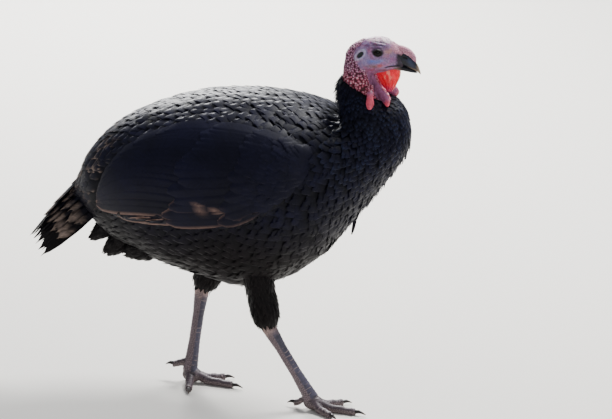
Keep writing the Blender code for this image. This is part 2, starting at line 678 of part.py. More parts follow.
def wing_feather(name, side, tier, share, pieces):
    """A feather on the folded wing, at a share of its tier from the highest to the lowest."""
    root, tip, (middle_lift, tip_lift) = (smooth(tier[key], (len(tier[key]) - 1) * share)
                                          for key in ("roots", "tips", "lifts"))
    outline = OUTLINES[tier["outline"]]
    middles, normals = [], []
    for along, _ in outline:
        a, b = root + (tip - root) * along
        rise = min(1, along / outline[1][0])
        lift = -ROOT_SINK + (middle_lift + ROOT_SINK) * rise + (tip_lift - middle_lift) * along
        middles.append(wing_point(side, a, b, lift, CORE_DEPTH * (1 - rise)))
        normals.append(wing_point(side, a, b, 0.02) - wing_point(side, a, b))
    shingle = -side * math.radians(tier["shingle"])
    blade(name, middles, normals, outline, tier["half"], shingle, "black_plumage", pieces)


def make_wings(bird, torso):
    for label, side in (("R", RIGHT), ("L", LEFT)):
        wing = wing_core("wing_" + label, side, bird)
        pieces = bpy.data.collections.new("feathers")
        for tier in WING_TIERS:
            for i in range(tier["count"]):
                name = f"{tier['name']}_{i}"
                wing_feather(name, side, tier, i / (tier["count"] - 1), pieces)
        fuse(wing, pieces)
        trim(wing, torso)


def tail_place(side, k, share):
    """A point of the folded tail's k-th feather pair from the middle, at a share of its length."""
    x, z = smooth(TAIL_RIDGE, (len(TAIL_RIDGE) - 1) * share)
    out = k / (TAIL_PAIRS - 1)
    hang = out**1.3 * (TAIL_DROP - TAIL_DROP_LOSS * share) + TAIL_STEP * k
    across = TAIL_FIRST + k * TAIL_SPREAD * (1 + share)
    return Vector((x, side * across, z)) + TAIL_HANG * hang


def tail_core(bird):
    """The stump in the middle of the tail that the feathers grow from."""
    rings = []
    for share, half, deep in TAIL_CORE:
        x, z = smooth(TAIL_RIDGE, (len(TAIL_RIDGE) - 1) * share)
        middle = Vector((x, 0, z)) + TAIL_HANG * (TAIL_CORE_TOP + deep / 2)
        rings.append([middle - TAIL_HANG * deep / 2 * bent(math.cos(a), 0.8)
                      + Vector((0, half * bent(math.sin(a), 0.8), 0))
                      for a in (2 * math.pi * k / 12 for k in range(12))])
    return loft("tail", rings, "black_plumage", bird)


def tail_feather(name, side, k, root, tip, half, lift, outline, pieces):
    """A tail feather from share root to share tip of the ridge, its inner edge the narrower."""
    slope = math.radians(TAIL_SLOPE + TAIL_SLOPE_STEP * k)
    up = Vector((0, side * math.sin(slope), 0)) - TAIL_HANG * math.cos(slope)
    line = Vector((0, side * math.cos(slope), 0)) + TAIL_HANG * math.sin(slope)
    shift = line * half * (1 - TAIL_INNER_SHARE) / 2
    middles = [tail_place(side, k, root + (tip - root) * share) + shift * width
               + up * lift * min(1, 2.5 * share) for share, width in outline]
    blade(name, middles, [up] * len(middles), outline, half * (1 + TAIL_INNER_SHARE) / 2, 0,
          "black_plumage", pieces)


def make_tail(bird, torso):
    tail = tail_core(bird)
    pieces = bpy.data.collections.new("tail feathers")
    for side in (RIGHT, LEFT):
        over = TAIL_CROSSING if side == RIGHT else 0.0
        for k in range(TAIL_PAIRS):
            root, tip = TAIL_REACH
            tail_feather(f"tail_{k}", side, k, root, tip - TAIL_SHORTER * k, TAIL_HALF_WIDTH,
                         over if k == 0 else 0.0, OUTLINES["flight"], pieces)
        for tier, (pairs, root, tip, half, lift) in enumerate(TAIL_COVERTS):
            for k in range(pairs):
                tail_feather(f"covert_{tier}_{k}", side, 1.6 * k + 0.3 * tier, root, tip, half,
                             lift + (over if k == 0 else 0.0), OUTLINES["covert"], pieces)
    fuse(tail, pieces)
    trim(tail, torso)


def make_leg(label, leg, bird, torso):
    knee, hock, foot = (Vector(leg[k]) for k in ("knee", "hock", "foot"))
    thigh = loft("thigh_" + label, limb_rings(knee, hock, DRUMSTICK, 9, 14), "black_plumage", bird)
    shank = loft("shank_" + label, shank_rings(hock, foot), "leg_scales", bird)
    toes = [make_toe(label, leg, name, *sizes, bird) for name, sizes in TOES.items()]
    for i, toe in reversed(list(enumerate(toes))):
        trim(toe, *toes[:i], shank)
        level_with_floor(toe)
    trim(shank, thigh)
    trim(thigh, torso)


def shank_rings(hock, foot):
    """Rings down the shank, two to a scute: its sunk upper edge and its raised lower edge."""
    line = (foot - hock).normalized()
    front = (Vector((1, 0, 0)) - line * line.x).normalized()
    across = line.cross(front)
    first, last = SCUTE_REACH
    step = (last - first) / SCUTE_COUNT
    levels = [(SHANK[0][0], 0), (SHANK[1][0], 0)]
    for i in range(SCUTE_COUNT):
        levels += [(first + step * (i + 0.04), 0), (first + step * (i + 0.96), 1)]
    levels += [(SHANK[-2][0], 0), (SHANK[-1][0], 0)]
    rings = []
    for share, raised in levels:
        depth, width = (np.interp(share, [row[0] for row in SHANK], [row[i] for row in SHANK])
                        for i in (1, 2))
        ring = []
        for k in range(12):
            a = 2 * math.pi * k / 12
            rise = raised * SCUTE_RISE * max(0, math.cos(a)) ** 0.5
            ring.append(hock.lerp(foot, share) + front * (depth + rise) * math.cos(a)
                        + across * (width + rise) * math.sin(a))
        rings.append(ring)
    return rings


def make_toe(label, leg, name, turn, length, claw_length, bird):
    turn = leg["inner"] if name == "inner" else turn
    heading = leg["heading"] - leg["side"] * math.radians(turn)
    ahead = Vector((math.cos(heading), math.sin(heading), 0))
    foot = Vector(leg["foot"])
    ground = Vector((foot.x, foot.y, 0))
    shares = [i / (TOE_POINTS - 1) for i in range(TOE_POINTS)]
    radii = [TOE_ROOT_RADIUS + (TOE_TIP_RADIUS - TOE_ROOT_RADIUS) * share for share in shares]
    heights = leg["hind"]
    if name != "hind":
        lying = [r - TOE_SINK for r in radii[len(FRONT_TOE_HEIGHTS):]]
        heights = FRONT_TOE_HEIGHTS + lying
    points = [ground + ahead * length * (TOE_START + (1 - TOE_START) * share) + Vector((0, 0, h))
              for share, h in zip(shares, heights)]
    toe = loft(f"toe_{label}_{name}", tube_rings(points, radii, 8), "leg_scales", bird)
    tip = points[-1]
    claw_points = [tip - ahead * CLAW_ROOT,
                   tip + ahead * claw_length * 0.45 + Vector((0, 0, CLAW_RISE)),
                   tip + ahead * claw_length - Vector((0, 0, CLAW_DROOP))]
    claw = loft(f"claw_{label}_{name}", tube_rings(claw_points, CLAW_RADII, 6), "claw", bird)
    trim(claw, toe)
    level_with_floor(claw)
    return toe


def level_with_floor(obj):
    """Cuts a piece off at the floor, which leaves a small flat to stand on."""
    bm = bmesh.new()
    bm.from_mesh(obj.data)
    if min(v.co.z for v in bm.verts) < 0:
        cut = bmesh.ops.bisect_plane(bm, geom=bm.verts[:] + bm.edges[:] + bm.faces[:],
                                     plane_co=(0, 0, 0), plane_no=(0, 0, -1), clear_outer=True)
        rim = [e for e in cut["geom_cut"] if isinstance(e, bmesh.types.BMEdge)]
        bmesh.ops.holes_fill(bm, edges=rim)
        bmesh.ops.recalc_face_normals(bm, faces=bm.faces)
        bm.to_mesh(obj.data)
    bm.free()


def make_beard(bird, torso):
    points = [Vector((x, 0, z)) for x, z, _ in BEARD]
    beard = loft("beard", tube_rings(points, [r for _, _, r in BEARD], 8), "black_plumage", bird)
    trim(beard, torso)


def clear_scene():
    for obj in list(bpy.data.objects):
        bpy.data.objects.remove(obj)


def main():
    clear_scene()
    bird = bpy.data.collections.new("turkey")
    bpy.context.scene.collection.children.link(bird)
    torso = make_torso(bird)
    neck = make_neck(bird)
    make_face(bird, neck)
    make_wings(bird, torso)
    make_tail(bird, torso)
    for label, leg in LEGS.items():
        make_leg(label, leg, bird, torso)
    make_beard(bird, torso)
    carrier = bpy.data.objects.new("turkey", None)
    bird.objects.link(carrier)
    carrier.location.x = BOX_SHIFT
    for obj in bird.objects:
        if obj is not carrier:
            obj.parent = carrier


main()
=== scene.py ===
import math

import bpy
import numpy as np
from mathutils import Matrix, Vector


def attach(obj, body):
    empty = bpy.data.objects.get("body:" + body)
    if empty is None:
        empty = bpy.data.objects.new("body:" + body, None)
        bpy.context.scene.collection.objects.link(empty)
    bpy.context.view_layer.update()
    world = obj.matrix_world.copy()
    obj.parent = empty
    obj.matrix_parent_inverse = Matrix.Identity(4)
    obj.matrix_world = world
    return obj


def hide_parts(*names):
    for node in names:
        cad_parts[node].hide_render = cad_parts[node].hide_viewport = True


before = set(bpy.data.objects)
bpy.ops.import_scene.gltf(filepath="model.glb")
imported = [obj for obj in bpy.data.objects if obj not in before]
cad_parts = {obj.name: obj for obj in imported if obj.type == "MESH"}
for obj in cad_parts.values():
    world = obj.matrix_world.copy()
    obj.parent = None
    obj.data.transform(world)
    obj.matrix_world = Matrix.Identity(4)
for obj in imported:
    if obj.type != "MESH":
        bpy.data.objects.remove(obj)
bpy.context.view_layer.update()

# A black domestic turkey that walks with its neck drawn in. Places are in metres from the ground
# midway between the feet, as in the solids, and walkToBox moves them under the box's middle.
walkToBox = np.array([0.0395, 0.0, 0.0])
upwards = np.array([0, 0, 1.0])
rng = np.random.default_rng(11)


def linearColour(hexColour):
    # sRGB to linear light: a twelfth of the low values, the 2.4 power of the others
    value = np.array([int(hexColour[i:i + 2], 16) for i in (1, 3, 5)]) / 255
    return np.where(value <= 0.04045, value / 12.92, ((value + 0.055) / 1.055) ** 2.4)


def linearHues(**named):
    # several hex colours by name, all linear
    return {name: linearColour(value) for name, value in named.items()}


def rowsAt(table, at):
    # a smooth curve through the rows of a table (Catmull-Rom), straight on beyond its ends
    rows = np.asarray(table, float)
    last = len(rows) - 1
    at = np.asarray(at, float)
    inside = np.clip(at, 0, last)
    i = np.clip(np.floor(inside).astype(int), 0, last - 1)
    f = (inside - i)[..., None]
    p0, p1, p2, p3 = rows[np.maximum(i - 1, 0)], rows[i], rows[i + 1], rows[np.minimum(i + 2, last)]
    square, cube = 2 * p0 - 5 * p1 + 4 * p2 - p3, 3 * p1 - p0 - 3 * p2 + p3
    value = 0.5 * (2 * p1 + (p2 - p0) * f + square * f**2 + cube * f**3)
    slope = 0.5 * ((p2 - p0) + 2 * square * f + 3 * cube * f**2)
    return value + slope * (at - inside)[..., None]


def turns(count):
    # the angles of that many equal steps round a circle
    return np.linspace(0, 2 * np.pi, count, endpoint=False)


def bent(value, power):
    # a cosine or sine raised to a power, its sign kept
    return np.sign(value) * np.abs(value) ** power


def unit(vectors):
    # vectors divided by their lengths
    return vectors / np.maximum(np.linalg.norm(vectors, axis=-1, keepdims=True), 1e-9)


def smoothStep(low, high, value):
    # 0 below low, 1 above high, an S between
    t = np.clip((value - low) / (high - low), 0, 1)
    return t * t * (3 - 2 * t)


def valueNoise(points, size, seed):
    # random values from -1 to 1 on a lattice of that size in metres, smoothly joined; each corner's
    # value is a scrambled product of its place and the seed
    scaled = points / size
    cell = np.floor(scaled).astype(np.int64)
    f = scaled - cell
    f = f * f * (3 - 2 * f)
    total = np.zeros(points.shape[:-1])
    for corner in range(8):
        step = np.array([corner & 1, corner >> 1 & 1, corner >> 2 & 1])
        at = cell + step
        mix = at[..., 0] * 73856093 ^ at[..., 1] * 19349663 ^ at[..., 2] * 83492791 ^ seed * 2654435761
        mix = (mix ^ (mix >> 13)) * 1274126177 & 0x7FFFFFFF
        mix = (mix ^ (mix >> 11)) & 0xFFFFF
        weight = np.prod(np.where(step == 1, f, 1 - f), axis=-1)
        total += weight * (mix / 0x7FFFF - 1)
    return total


def flat(colour, points):
    # one colour for every point
    return np.broadcast_to(colour, points.shape)


def blendColours(base, share, colour):
    # base where share is 0, colour where it is 1
    return base + np.clip(share, 0, 1)[..., None] * (colour - base)


def addNode(tree, kind, settings=None, links=None):
    # a shader node with its properties and socket values, and links given as input: (node, output)
    node = tree.nodes.new("ShaderNode" + kind)
    for key, value in (settings or {}).items():
        if isinstance(key, int) or key in node.inputs:
            node.inputs[key].default_value = value
        else:
            setattr(node, key, value)
    for key, (source, output) in (links or {}).items():
        tree.links.new(source.outputs[output], node.inputs[key])
    return node


def newMaterial(name, shader):
    # an empty material with a Principled shader, its constants on its own sockets
    material = bpy.data.materials.new(name)
    material.use_nodes = True
    tree = material.node_tree
    surface = tree.nodes["Principled BSDF"]
    for socket, value in shader.items():
        surface.inputs[socket].default_value = value
    return material, tree, surface


def finishSurface(tree, surface, noise, height, look):
    # the painted colour times 1 give or take the contrast, the roughness between its two values by
    # the same noise, and a relief that follows the height
    painted = addNode(tree, "VertexColor", {"layer_name": "coat"})
    spans = (1 - look["contrast"], 1 + look["contrast"]), look["rough"]
    shade, gloss = (addNode(tree, "MapRange", {"From Min": 0.3, "From Max": 0.7, "To Min": low,
                                               "To Max": high}, {"Value": (noise, "Fac")})
                    for low, high in spans)
    tinted = addNode(tree, "VectorMath", {"operation": "SCALE"},
                     {0: (painted, "Color"), "Scale": (shade, 0)})
    strength, distance = look["bump"]
    relief = addNode(tree, "Bump", {"Strength": strength, "Distance": distance}, {"Height": height})
    for node, socket in ((tinted, "Base Color"), (gloss, "Roughness"), (relief, "Normal")):
        tree.links.new(node.outputs[0], surface.inputs[socket])


def featherMaterial(name, look):
    # barbs as a noise drawn out along lines that slant away from the shaft on both sides: across the
    # vane the map's X, along it its Y less the slant times the size of X
    material, tree, surface = newMaterial(name, look["shader"])
    vane = addNode(tree, "UVMap", {"uv_map": "vane"})
    parts = addNode(tree, "SeparateXYZ", links={0: (vane, "UV")})
    side = addNode(tree, "Math", {"operation": "ABSOLUTE"}, {0: (parts, "X")})
    slant = addNode(tree, "Math", {"operation": "MULTIPLY", 1: look["slant"]}, {0: (side, 0)})
    along = addNode(tree, "Math", {"operation": "SUBTRACT"}, {0: (parts, "Y"), 1: (slant, 0)})
    across = addNode(tree, "Math", {"operation": "MULTIPLY", 1: look["stretch"]}, {0: (parts, "X")})
    place = addNode(tree, "CombineXYZ", links={"X": (along, 0), "Y": (across, 0)})
    # the map is in millimetres, so a scale of 1 over the spacing gives barbs that far apart
    barbs = addNode(tree, "TexNoise", {"Scale": 1 / look["barbs"], "Detail": 2.0}, {"Vector": (place, 0)})
    finishSurface(tree, surface, barbs, (barbs, "Fac"), look)
    return material


def skinMaterial(name, look):
    # bare skin, scales or horn: mottled paint, and pores as cells, at their sizes in millimetres
    material, tree, surface = newMaterial(name, look["shader"])
    place = addNode(tree, "TexCoord")
    mottle = addNode(tree, "TexNoise", {"Scale": 1000 / look["mottle"], "Detail": 3.0},
                     {"Vector": (place, "Object")})
    pores = addNode(tree, "TexVoronoi", {"Scale": 1000 / look["pores"]}, {"Vector": (place, "Object")})
    finishSurface(tree, surface, mottle, (pores, "Distance"), look)
    return material


# Feather vanes: keratin, satin black, with a faint cool sheen at grazing angles
featherLook = {
    "shader": {"IOR": 1.54, "Sheen Weight": 0.008, "Sheen Roughness": 0.4,
               "Sheen Tint": (*linearColour("#8fa3d8"), 1), "Specular IOR Level": 0.11},
    "slant": 0.9,       # barbs leave the shaft at about 45 degrees
    "stretch": 0.06,    # a barb's noise is this much longer along it
    "barbs": 0.9,       # real barbs are 0.4 mm apart; drawn twice as coarse so that they show
    "contrast": 0.35, "rough": (0.38, 0.62), "bump": (0.35, 0.0004),
}
# Bare caruncled skin: moist, with light that sinks in a few millimetres and comes out redder
bareSkinLook = {
    "shader": {"IOR": 1.4, "Subsurface Weight": 0.25, "Subsurface Scale": 0.004,
               "Subsurface Radius": (1.0, 0.35, 0.25), "Specular IOR Level": 0.5},
    "mottle": 3.0, "contrast": 0.22, "pores": 0.9, "bump": (0.35, 0.0003), "rough": (0.38, 0.58),
}
# The dewlap's skin is so thin that it glows
dewlapLook = {
    "shader": {"IOR": 1.4, "Subsurface Weight": 0.6, "Subsurface Scale": 0.008,
               "Subsurface Radius": (1.0, 0.25, 0.15), "Specular IOR Level": 0.5},
    "mottle": 4.0, "contrast": 0.18, "pores": 1.2, "bump": (0.3, 0.0003), "rough": (0.32, 0.5),
}
# Leg scales: dry horn, dull
legLook = {
    "shader": {"IOR": 1.5, "Specular IOR Level": 0.45},
    "mottle": 2.2, "contrast": 0.25, "pores": 0.8, "bump": (0.3, 0.0003), "rough": (0.42, 0.65),
}
# Bill and claws: horn worn smooth, with a soft gloss
hornLook = {
    "shader": {"IOR": 1.5, "Specular IOR Level": 0.35},
    "mottle": 5.0, "contrast": 0.15, "pores": 2.5, "bump": (0.12, 0.0003), "rough": (0.28, 0.45),
}
plumage = featherMaterial("satinBlackFeather", featherLook)
bareSkin = skinMaterial("moistCaruncledSkin", bareSkinLook)
dewlapSkin = skinMaterial("thinRedFlap", dewlapLook)
legScales = skinMaterial("dryHornyScales", legLook)
horn = skinMaterial("smoothHorn", hornLook)

# A wet cornea gives a small sharp highlight over the iris and pupil that are painted on the ball
wetEye, eyeTree, eyeSurface = newMaterial("wetDarkEye", {"Roughness": 0.05, "IOR": 1.38,
                                                         "Specular IOR Level": 0.28})
paintedEye = addNode(eyeTree, "VertexColor", {"layer_name": "coat"})
eyeTree.links.new(paintedEye.outputs["Color"], eyeSurface.inputs["Base Color"])


def addToScene(name, data):
    # an object with that data, linked into the scene
    made = bpy.data.objects.new(name, data)
    bpy.context.scene.collection.objects.link(made)
    return made


def ridingPiece(name, mesh):
    # a piece of the bird that rides the one body
    piece = addToScene(name, mesh)
    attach(piece, "root")
    return piece


def meshObject(name, points, quads, tris, material, colours=None, maps=None):
    # one mesh from arrays of points and faces, with its painted colours and its UV maps by point
    quads = np.asarray(quads, np.int32).reshape(-1, 4)
    tris = np.asarray(tris, np.int32).reshape(-1, 3)
    corners = np.concatenate([quads.ravel(), tris.ravel()])
    starts = np.concatenate([np.arange(len(quads)) * 4, len(quads) * 4 + np.arange(len(tris)) * 3])
    mesh = bpy.data.meshes.new(name)
    mesh.vertices.add(len(points))
    mesh.vertices.foreach_set("co", np.asarray(points, np.float32).ravel())
    mesh.loops.add(len(corners))
    mesh.loops.foreach_set("vertex_index", corners)
    mesh.polygons.add(len(starts))
    mesh.polygons.foreach_set("loop_start", starts.astype(np.int32))
    mesh.update(calc_edges=True)
    mesh.validate()
    for mapName, places in (maps or {}).items():
        if mapName != "rims":
            layer = mesh.uv_layers.new(name=mapName)
            layer.data.foreach_set("uv", np.asarray(places, np.float32)[corners].ravel())
    if maps and "rims" in maps:
        # a vane's rim is a sharp edge, so that its upper side is shaded as the flat web it is
        ends = np.zeros(len(mesh.edges) * 2, np.int32)
        mesh.edges.foreach_get("vertices", ends)
        codes = maps["rims"][ends.reshape(-1, 2)]
        sharp = ((codes[:, 0] == codes[:, 1]) & (codes[:, 0] > 0)).any(1)
        mesh.attributes.new("sharp_edge", "BOOLEAN", "EDGE").data.foreach_set("value", sharp)
    if colours is not None:
        paintMesh(mesh, colours)
    mesh.polygons.foreach_set("use_smooth", np.ones(len(starts), bool))
    mesh.materials.append(material)
    return ridingPiece(name, mesh)


def paintMesh(mesh, colours):
    # the painted colour of each point
    layer = mesh.color_attributes.new("coat", "FLOAT_COLOR", "POINT")
    rgba = np.ones((len(mesh.vertices), 4), np.float32)
    rgba[:, :3] = colours
    layer.data.foreach_set("color", rgba.ravel())


def gridFaces(rings, corners):
    # quads of a closed tube of rings, and fans at its two ends, whose middle points come last
    i, k = np.meshgrid(np.arange(rings - 1), np.arange(corners), indexing="ij")
    n = (k + 1) % corners
    quads = np.stack([i * corners + k, (i + 1) * corners + k, (i + 1) * corners + n, i * corners + n], -1)
    k = np.arange(corners)
    n = (k + 1) % corners
    first, last = rings * corners, rings * corners + 1
    low = np.stack([np.full(corners, first), k, n], -1)
    high = np.stack([np.full(corners, last), (rings - 1) * corners + n, (rings - 1) * corners + k], -1)
    return quads.reshape(-1, 4), np.concatenate([low, high])


def tubeArrays(grid):
    # points and faces of a closed tube from a grid of rings, turned so that its faces point outwards
    rings, corners = grid.shape[:2]
    points = np.concatenate([grid.reshape(-1, 3), grid[0].mean(0)[None], grid[-1].mean(0)[None]])
    quads, tris = gridFaces(rings, corners)
    a, b, c = (points[quads[:, i]] for i in (0, 1, 2))
    middle = points.mean(0)
    facing = np.einsum("ij,ij->i", (a + c) / 2 - middle, np.cross(b - a, c - a)).sum()
    if facing < 0:
        quads, tris = quads[:, ::-1], tris[:, ::-1]
    return points, quads, tris


def joinArrays(parts):
    # several sets of points and faces as one
    points, quads, tris, shift = [], [], [], 0
    for p, q, t in parts:
        points.append(p)
        quads.append(q + shift)
        tris.append(t + shift)
        shift += len(p)
    return np.concatenate(points), np.concatenate(quads), np.concatenate(tris)


def tubeAlong(path, radii, corners, flatten, steps):
    # a round section carried along a smooth path, with rounded ends; flatten scales it sideways
    t = np.linspace(0, 1, steps)
    ends = 1 - (1 - np.clip(np.minimum(t, 1 - t) / 0.08, 0, 1)) ** 2
    at = t * (len(path) - 1)
    middle = rowsAt(path, at)
    radius = rowsAt(np.array(radii)[:, None], at)[:, 0] * np.sqrt(np.maximum(ends, 0.02))
    line = unit(np.gradient(middle, axis=0))
    side = unit(np.cross(line, upwards))
    up = np.cross(side, line)
    a = turns(corners)
    return (middle[:, None] + side[:, None] * (flatten * radius[:, None] * np.cos(a))[..., None]
            + up[:, None] * (radius[:, None] * np.sin(a))[..., None])


def remeshed(name, parts, voxel, smoothing, material):
    # the union of closed shapes as one skin: remeshed at the voxel's size, then smoothed
    points, quads, tris = joinArrays(parts)
    rough = meshObject(name + "Rough", points, quads, tris, material)
    grid = rough.modifiers.new("skin", "REMESH")
    grid.mode = "VOXEL"
    grid.voxel_size = voxel
    soften = rough.modifiers.new("soften", "SMOOTH")
    soften.factor = 0.5
    soften.iterations = smoothing
    graph = bpy.context.evaluated_depsgraph_get()
    mesh = bpy.data.meshes.new_from_object(rough.evaluated_get(graph))
    bpy.data.objects.remove(rough)
    mesh.name = name
    mesh.materials.clear()
    mesh.materials.append(material)
    mesh.polygons.foreach_set("use_smooth", np.ones(len(mesh.polygons), bool))
    return ridingPiece(name, mesh)


def meshPlaces(mesh):
    # the mesh's points and normals as arrays
    found = []
    for key in ("co", "normal"):
        values = np.zeros(len(mesh.vertices) * 3, np.float32)
        mesh.vertices.foreach_get(key, values)
        found.append(values.reshape(-1, 3).astype(float))
    return found


def movePoints(mesh, points):
    # the mesh's points put at new places
    mesh.vertices.foreach_set("co", np.asarray(points, np.float32).ravel())
    mesh.update()


# Sections from the tail to the throat: upper point x, z, lower point x, z, half width
bodyRows = [
    (-0.283, 0.352, -0.262, 0.292, 0.03),
    (-0.262, 0.398, -0.228, 0.264, 0.064),
    (-0.222, 0.442, -0.182, 0.242, 0.094),
    (-0.16, 0.478, -0.132, 0.224, 0.117),
    (-0.08, 0.505, -0.066, 0.207, 0.132),
    (0.0, 0.514, 0.0, 0.196, 0.137),
    (0.065, 0.511, 0.062, 0.214, 0.134),
    (0.115, 0.501, 0.124, 0.258, 0.124),
    (0.146, 0.49, 0.18, 0.326, 0.107),
    (0.156, 0.491, 0.226, 0.386, 0.087),
    (0.151, 0.502, 0.26, 0.441, 0.066),
    (0.1455, 0.522, 0.2575, 0.49, 0.053),
    (0.1455, 0.538, 0.244, 0.512, 0.042),
    (0.149, 0.556, 0.23, 0.521, 0.034),
]
body = {"boxiness": 2.2, "keel": 0.1, "neckTop": 13.0}
# The folded wing on it: rows of its front and tip, and by length its edges in degrees and thickness
wing = {
    "front": 7.35, "rear": 1.3,
    "shape": [(58.0, 64.0, 0.0015), (48.0, 85.0, 0.0085), (43.0, 94.0, 0.012), (42.0, 98.0, 0.012),
              (45.0, 100.0, 0.01), (55.0, 101.0, 0.0065), (78.0, 97.0, 0.002)],
    "rim": 0.22, "arch": (0.08, 0.81), "fade": 0.2,
}


def bodySkin(row, turn):
    # rounded-box sections; turn runs in degrees from the back (0) over the right side (90)
    topX, topZ, lowX, lowZ, half = np.moveaxis(rowsAt(bodyRows, row), -1, 0)
    c = bent(np.cos(np.radians(turn)), 2 / body["boxiness"])
    s = bent(np.sin(np.radians(turn)), 2 / body["boxiness"])
    half = half * (1 - body["keel"] * (1 - c) / 2)
    return np.stack([(topX + lowX) / 2 + (topX - lowX) / 2 * c, -half * s,
                     (topZ + lowZ) / 2 + (topZ - lowZ) / 2 * c], -1) + walkToBox


def slopes(surface, a, b):
    # the two slopes of a surface at a, b: its change over a small step both ways
    stepA, stepB = 0.02, 1.0
    alongA = (surface(a + stepA, b) - surface(a - stepA, b)) / (2 * stepA)
    alongB = (surface(a, b + stepB) - surface(a, b - stepB)) / (2 * stepB)
    return alongA, alongB


def outward(surface, a, b):
    # the surface's normal: the cross product of its two slopes
    alongA, alongB = slopes(surface, a, b)
    return unit(np.cross(alongB, alongA))


def wingShares(row, turn):
    # shares along the wing (front 0, tip 1) and across it (upper edge 0, lower edge 1)
    along = (wing["front"] - row) / (wing["front"] - wing["rear"])
    upper, lower, thick = np.moveaxis(rowsAt(wing["shape"], 6 * np.clip(along, 0, 1)), -1, 0)
    return along, (np.abs(turn) - upper) / (lower - upper), thick


def wingBulge(row, turn):
    # how far the wing stands on the body: an arch across it that fades out above and ahead
    along, across, thick = wingShares(row, turn)
    first, last = wing["arch"]
    arch = np.sin(np.pi * np.clip(first + (last - first) * np.clip(across, 0, 1), 0, 1)) ** 0.8
    fade = np.exp(-(np.minimum(across, 0) / wing["fade"]) ** 2)
    fade *= 1 - smoothStep(1.0, 1.06, across)
    fade *= np.exp(-((np.minimum(along, 0) + np.maximum(along - 1, 0)) / 0.05) ** 2)
    return thick * (wing["rim"] + (1 - wing["rim"]) * arch) * fade


def coatSurface(row, turn):
    # the outer line of the coat: the body with the wings on it
    return bodySkin(row, turn) + outward(bodySkin, row, turn) * wingBulge(row, turn)[..., None]


# Colours of the coat, the same for skin and feathers
coat = linearHues(
    navy="#0d0d20",         # back, wings and neck: blue-black where the light falls
    black="#07070d",
    # the belly's own brown-black, darkened as painted shade on the underside
    brown="#0c0708",        # belly, thighs and vent
    # slate: painted bluish sheen on those feather ends
    slate="#2c3450",        # bluish ends of the neck's and breast's small feathers
    taupe="#8a786d",        # worn ends of the rump's and tail's coverts
    fringe="#8d7064",       # pinkish brown edges along the wing's lower rim
)


def coatColour(points):
    # blue-black above, partly painted sheen; brown below, darkened as painted shade; soft patches 6 cm
    # wide
    height = points[..., 2] + 0.02 * valueNoise(points, 0.06, 3)
    low = 1 - smoothStep(0.24, 0.36, height)
    patch = 0.5 + 0.5 * valueNoise(points, 0.035, 4)
    upper = blendColours(flat(coat["navy"], points), patch * 0.6, coat["black"])
    # brown below, darkened as painted shade
    colour = blendColours(upper, low, coat["brown"])
    return colour * (1 + 0.18 * valueNoise(points, 0.012, 5))[..., None]


def featherSet(middles, normals, halves, outline, crown, roll, shades, roots, style):
    # Every feather from arrays: middles (feather, station, xyz) with normals, half widths (feather,
    # station) and a section from its left edge over its shaft to its right edge. Height over the
    # flat vane: crown times 1 less the square of the share across. Its underside is flat. Towards
    # the tip each barb group ends at its own length: round draws the edges back by the square of
    # the share across, and torn moves every other group in or out. In OFBake each feather has a
    # small patch of its own at its root's place.
    count, stations = middles.shape[:2]
    across = np.array(style["columns"], float)
    k = len(across)
    line = unit(np.gradient(middles, axis=1))
    side = unit(np.cross(line, normals))
    up = np.cross(side, line)
    turn = roll[:, None, None] * np.linspace(0.3, 1, stations)[None, :, None]
    side, up = side * np.cos(turn) + up * np.sin(turn), up * np.cos(turn) - side * np.sin(turn)
    width = halves[:, None] * outline[None]
    share = np.linspace(0, 1, stations)
    lengths = np.linalg.norm(np.diff(middles, axis=1), axis=2).cumsum(1)
    lengths = np.concatenate([np.zeros((count, 1)), lengths], 1)
    offset = across[None, None] * width[..., None]
    bulge = (crown[:, None] * (1 - across**2)[None])[:, None] * np.ones((1, stations, 1))
    bulge = bulge + style.get("shaft", 0) * (across == 0) * (1 - 0.6 * share)[None, :, None]
    ends = style.get("torn", 0) * rng.uniform(0.2, 1.0, (count, k)) * (1 - 2 * (np.arange(k) % 2))
    ends = (ends - style.get("round", 0) * across**2) * lengths[:, -1:]
    reach = ends[:, None] * smoothStep(0.45, 1, share)[None, :, None]
    points = (middles[:, :, None] + side[:, :, None] * offset[..., None]
              + up[:, :, None] * bulge[..., None] + line[:, :, None] * reach[..., None])
    i, j = np.meshgrid(np.arange(stations - 1), np.arange(k), indexing="ij")
    n = (j + 1) % k
    one = np.stack([i * k + j, i * k + n, (i + 1) * k + n, (i + 1) * k + j], -1).reshape(-1, 4)
    fan = np.array([(0, m, m + 1) for m in range(1, k - 1)])
    caps = np.concatenate([fan[:, ::-1], fan + (stations - 1) * k])
    shift = (np.arange(count) * stations * k)[:, None, None]
    quads, tris = (one[None] + shift).reshape(-1, 4), (caps[None] + shift).reshape(-1, 3)
    alongMm = (lengths[:, :, None] + reach) * 1000
    vane = np.stack([offset * 1000 + 40 * rng.random((count, 1, 1)), alongMm], -1)
    patch = np.stack(np.broadcast_arrays(across[None, None] / 2 + 0.5, share[None, :, None]), -1)
    bake = 0.02 + 0.95 * roots[:, None, None] + 0.003 * patch
    rimA = (across == across[0]) * 1 + (across == across[-1]) * 2
    rimS = (share == 0) * 1 + (share == 1) * 2
    rims = np.stack(np.broadcast_arrays(rimA[None, None], rimS[None, :, None]), -1)
    maps = {"OFBake": bake.reshape(-1, 2), "vane": vane.reshape(-1, 2),
            "rims": np.broadcast_to(rims, (count, stations, k, 2)).reshape(-1, 2)}
    edge = np.broadcast_to(across[None, None], offset.shape)
    colours = shades(points, np.broadcast_to(share[None, :, None], offset.shape), edge)
    return points.reshape(-1, 3), quads, tris, colours.reshape(-1, 3), maps


def makeCoat(name, made, replaces=()):
    # one piece from a feather set
    points, quads, tris, colours, maps = made
    piece = meshObject(name, points, quads, tris, plumage, colours, maps)
    if replaces:
        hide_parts(*replaces)
    print(name, "triangles", len(quads) * 2 + len(tris))


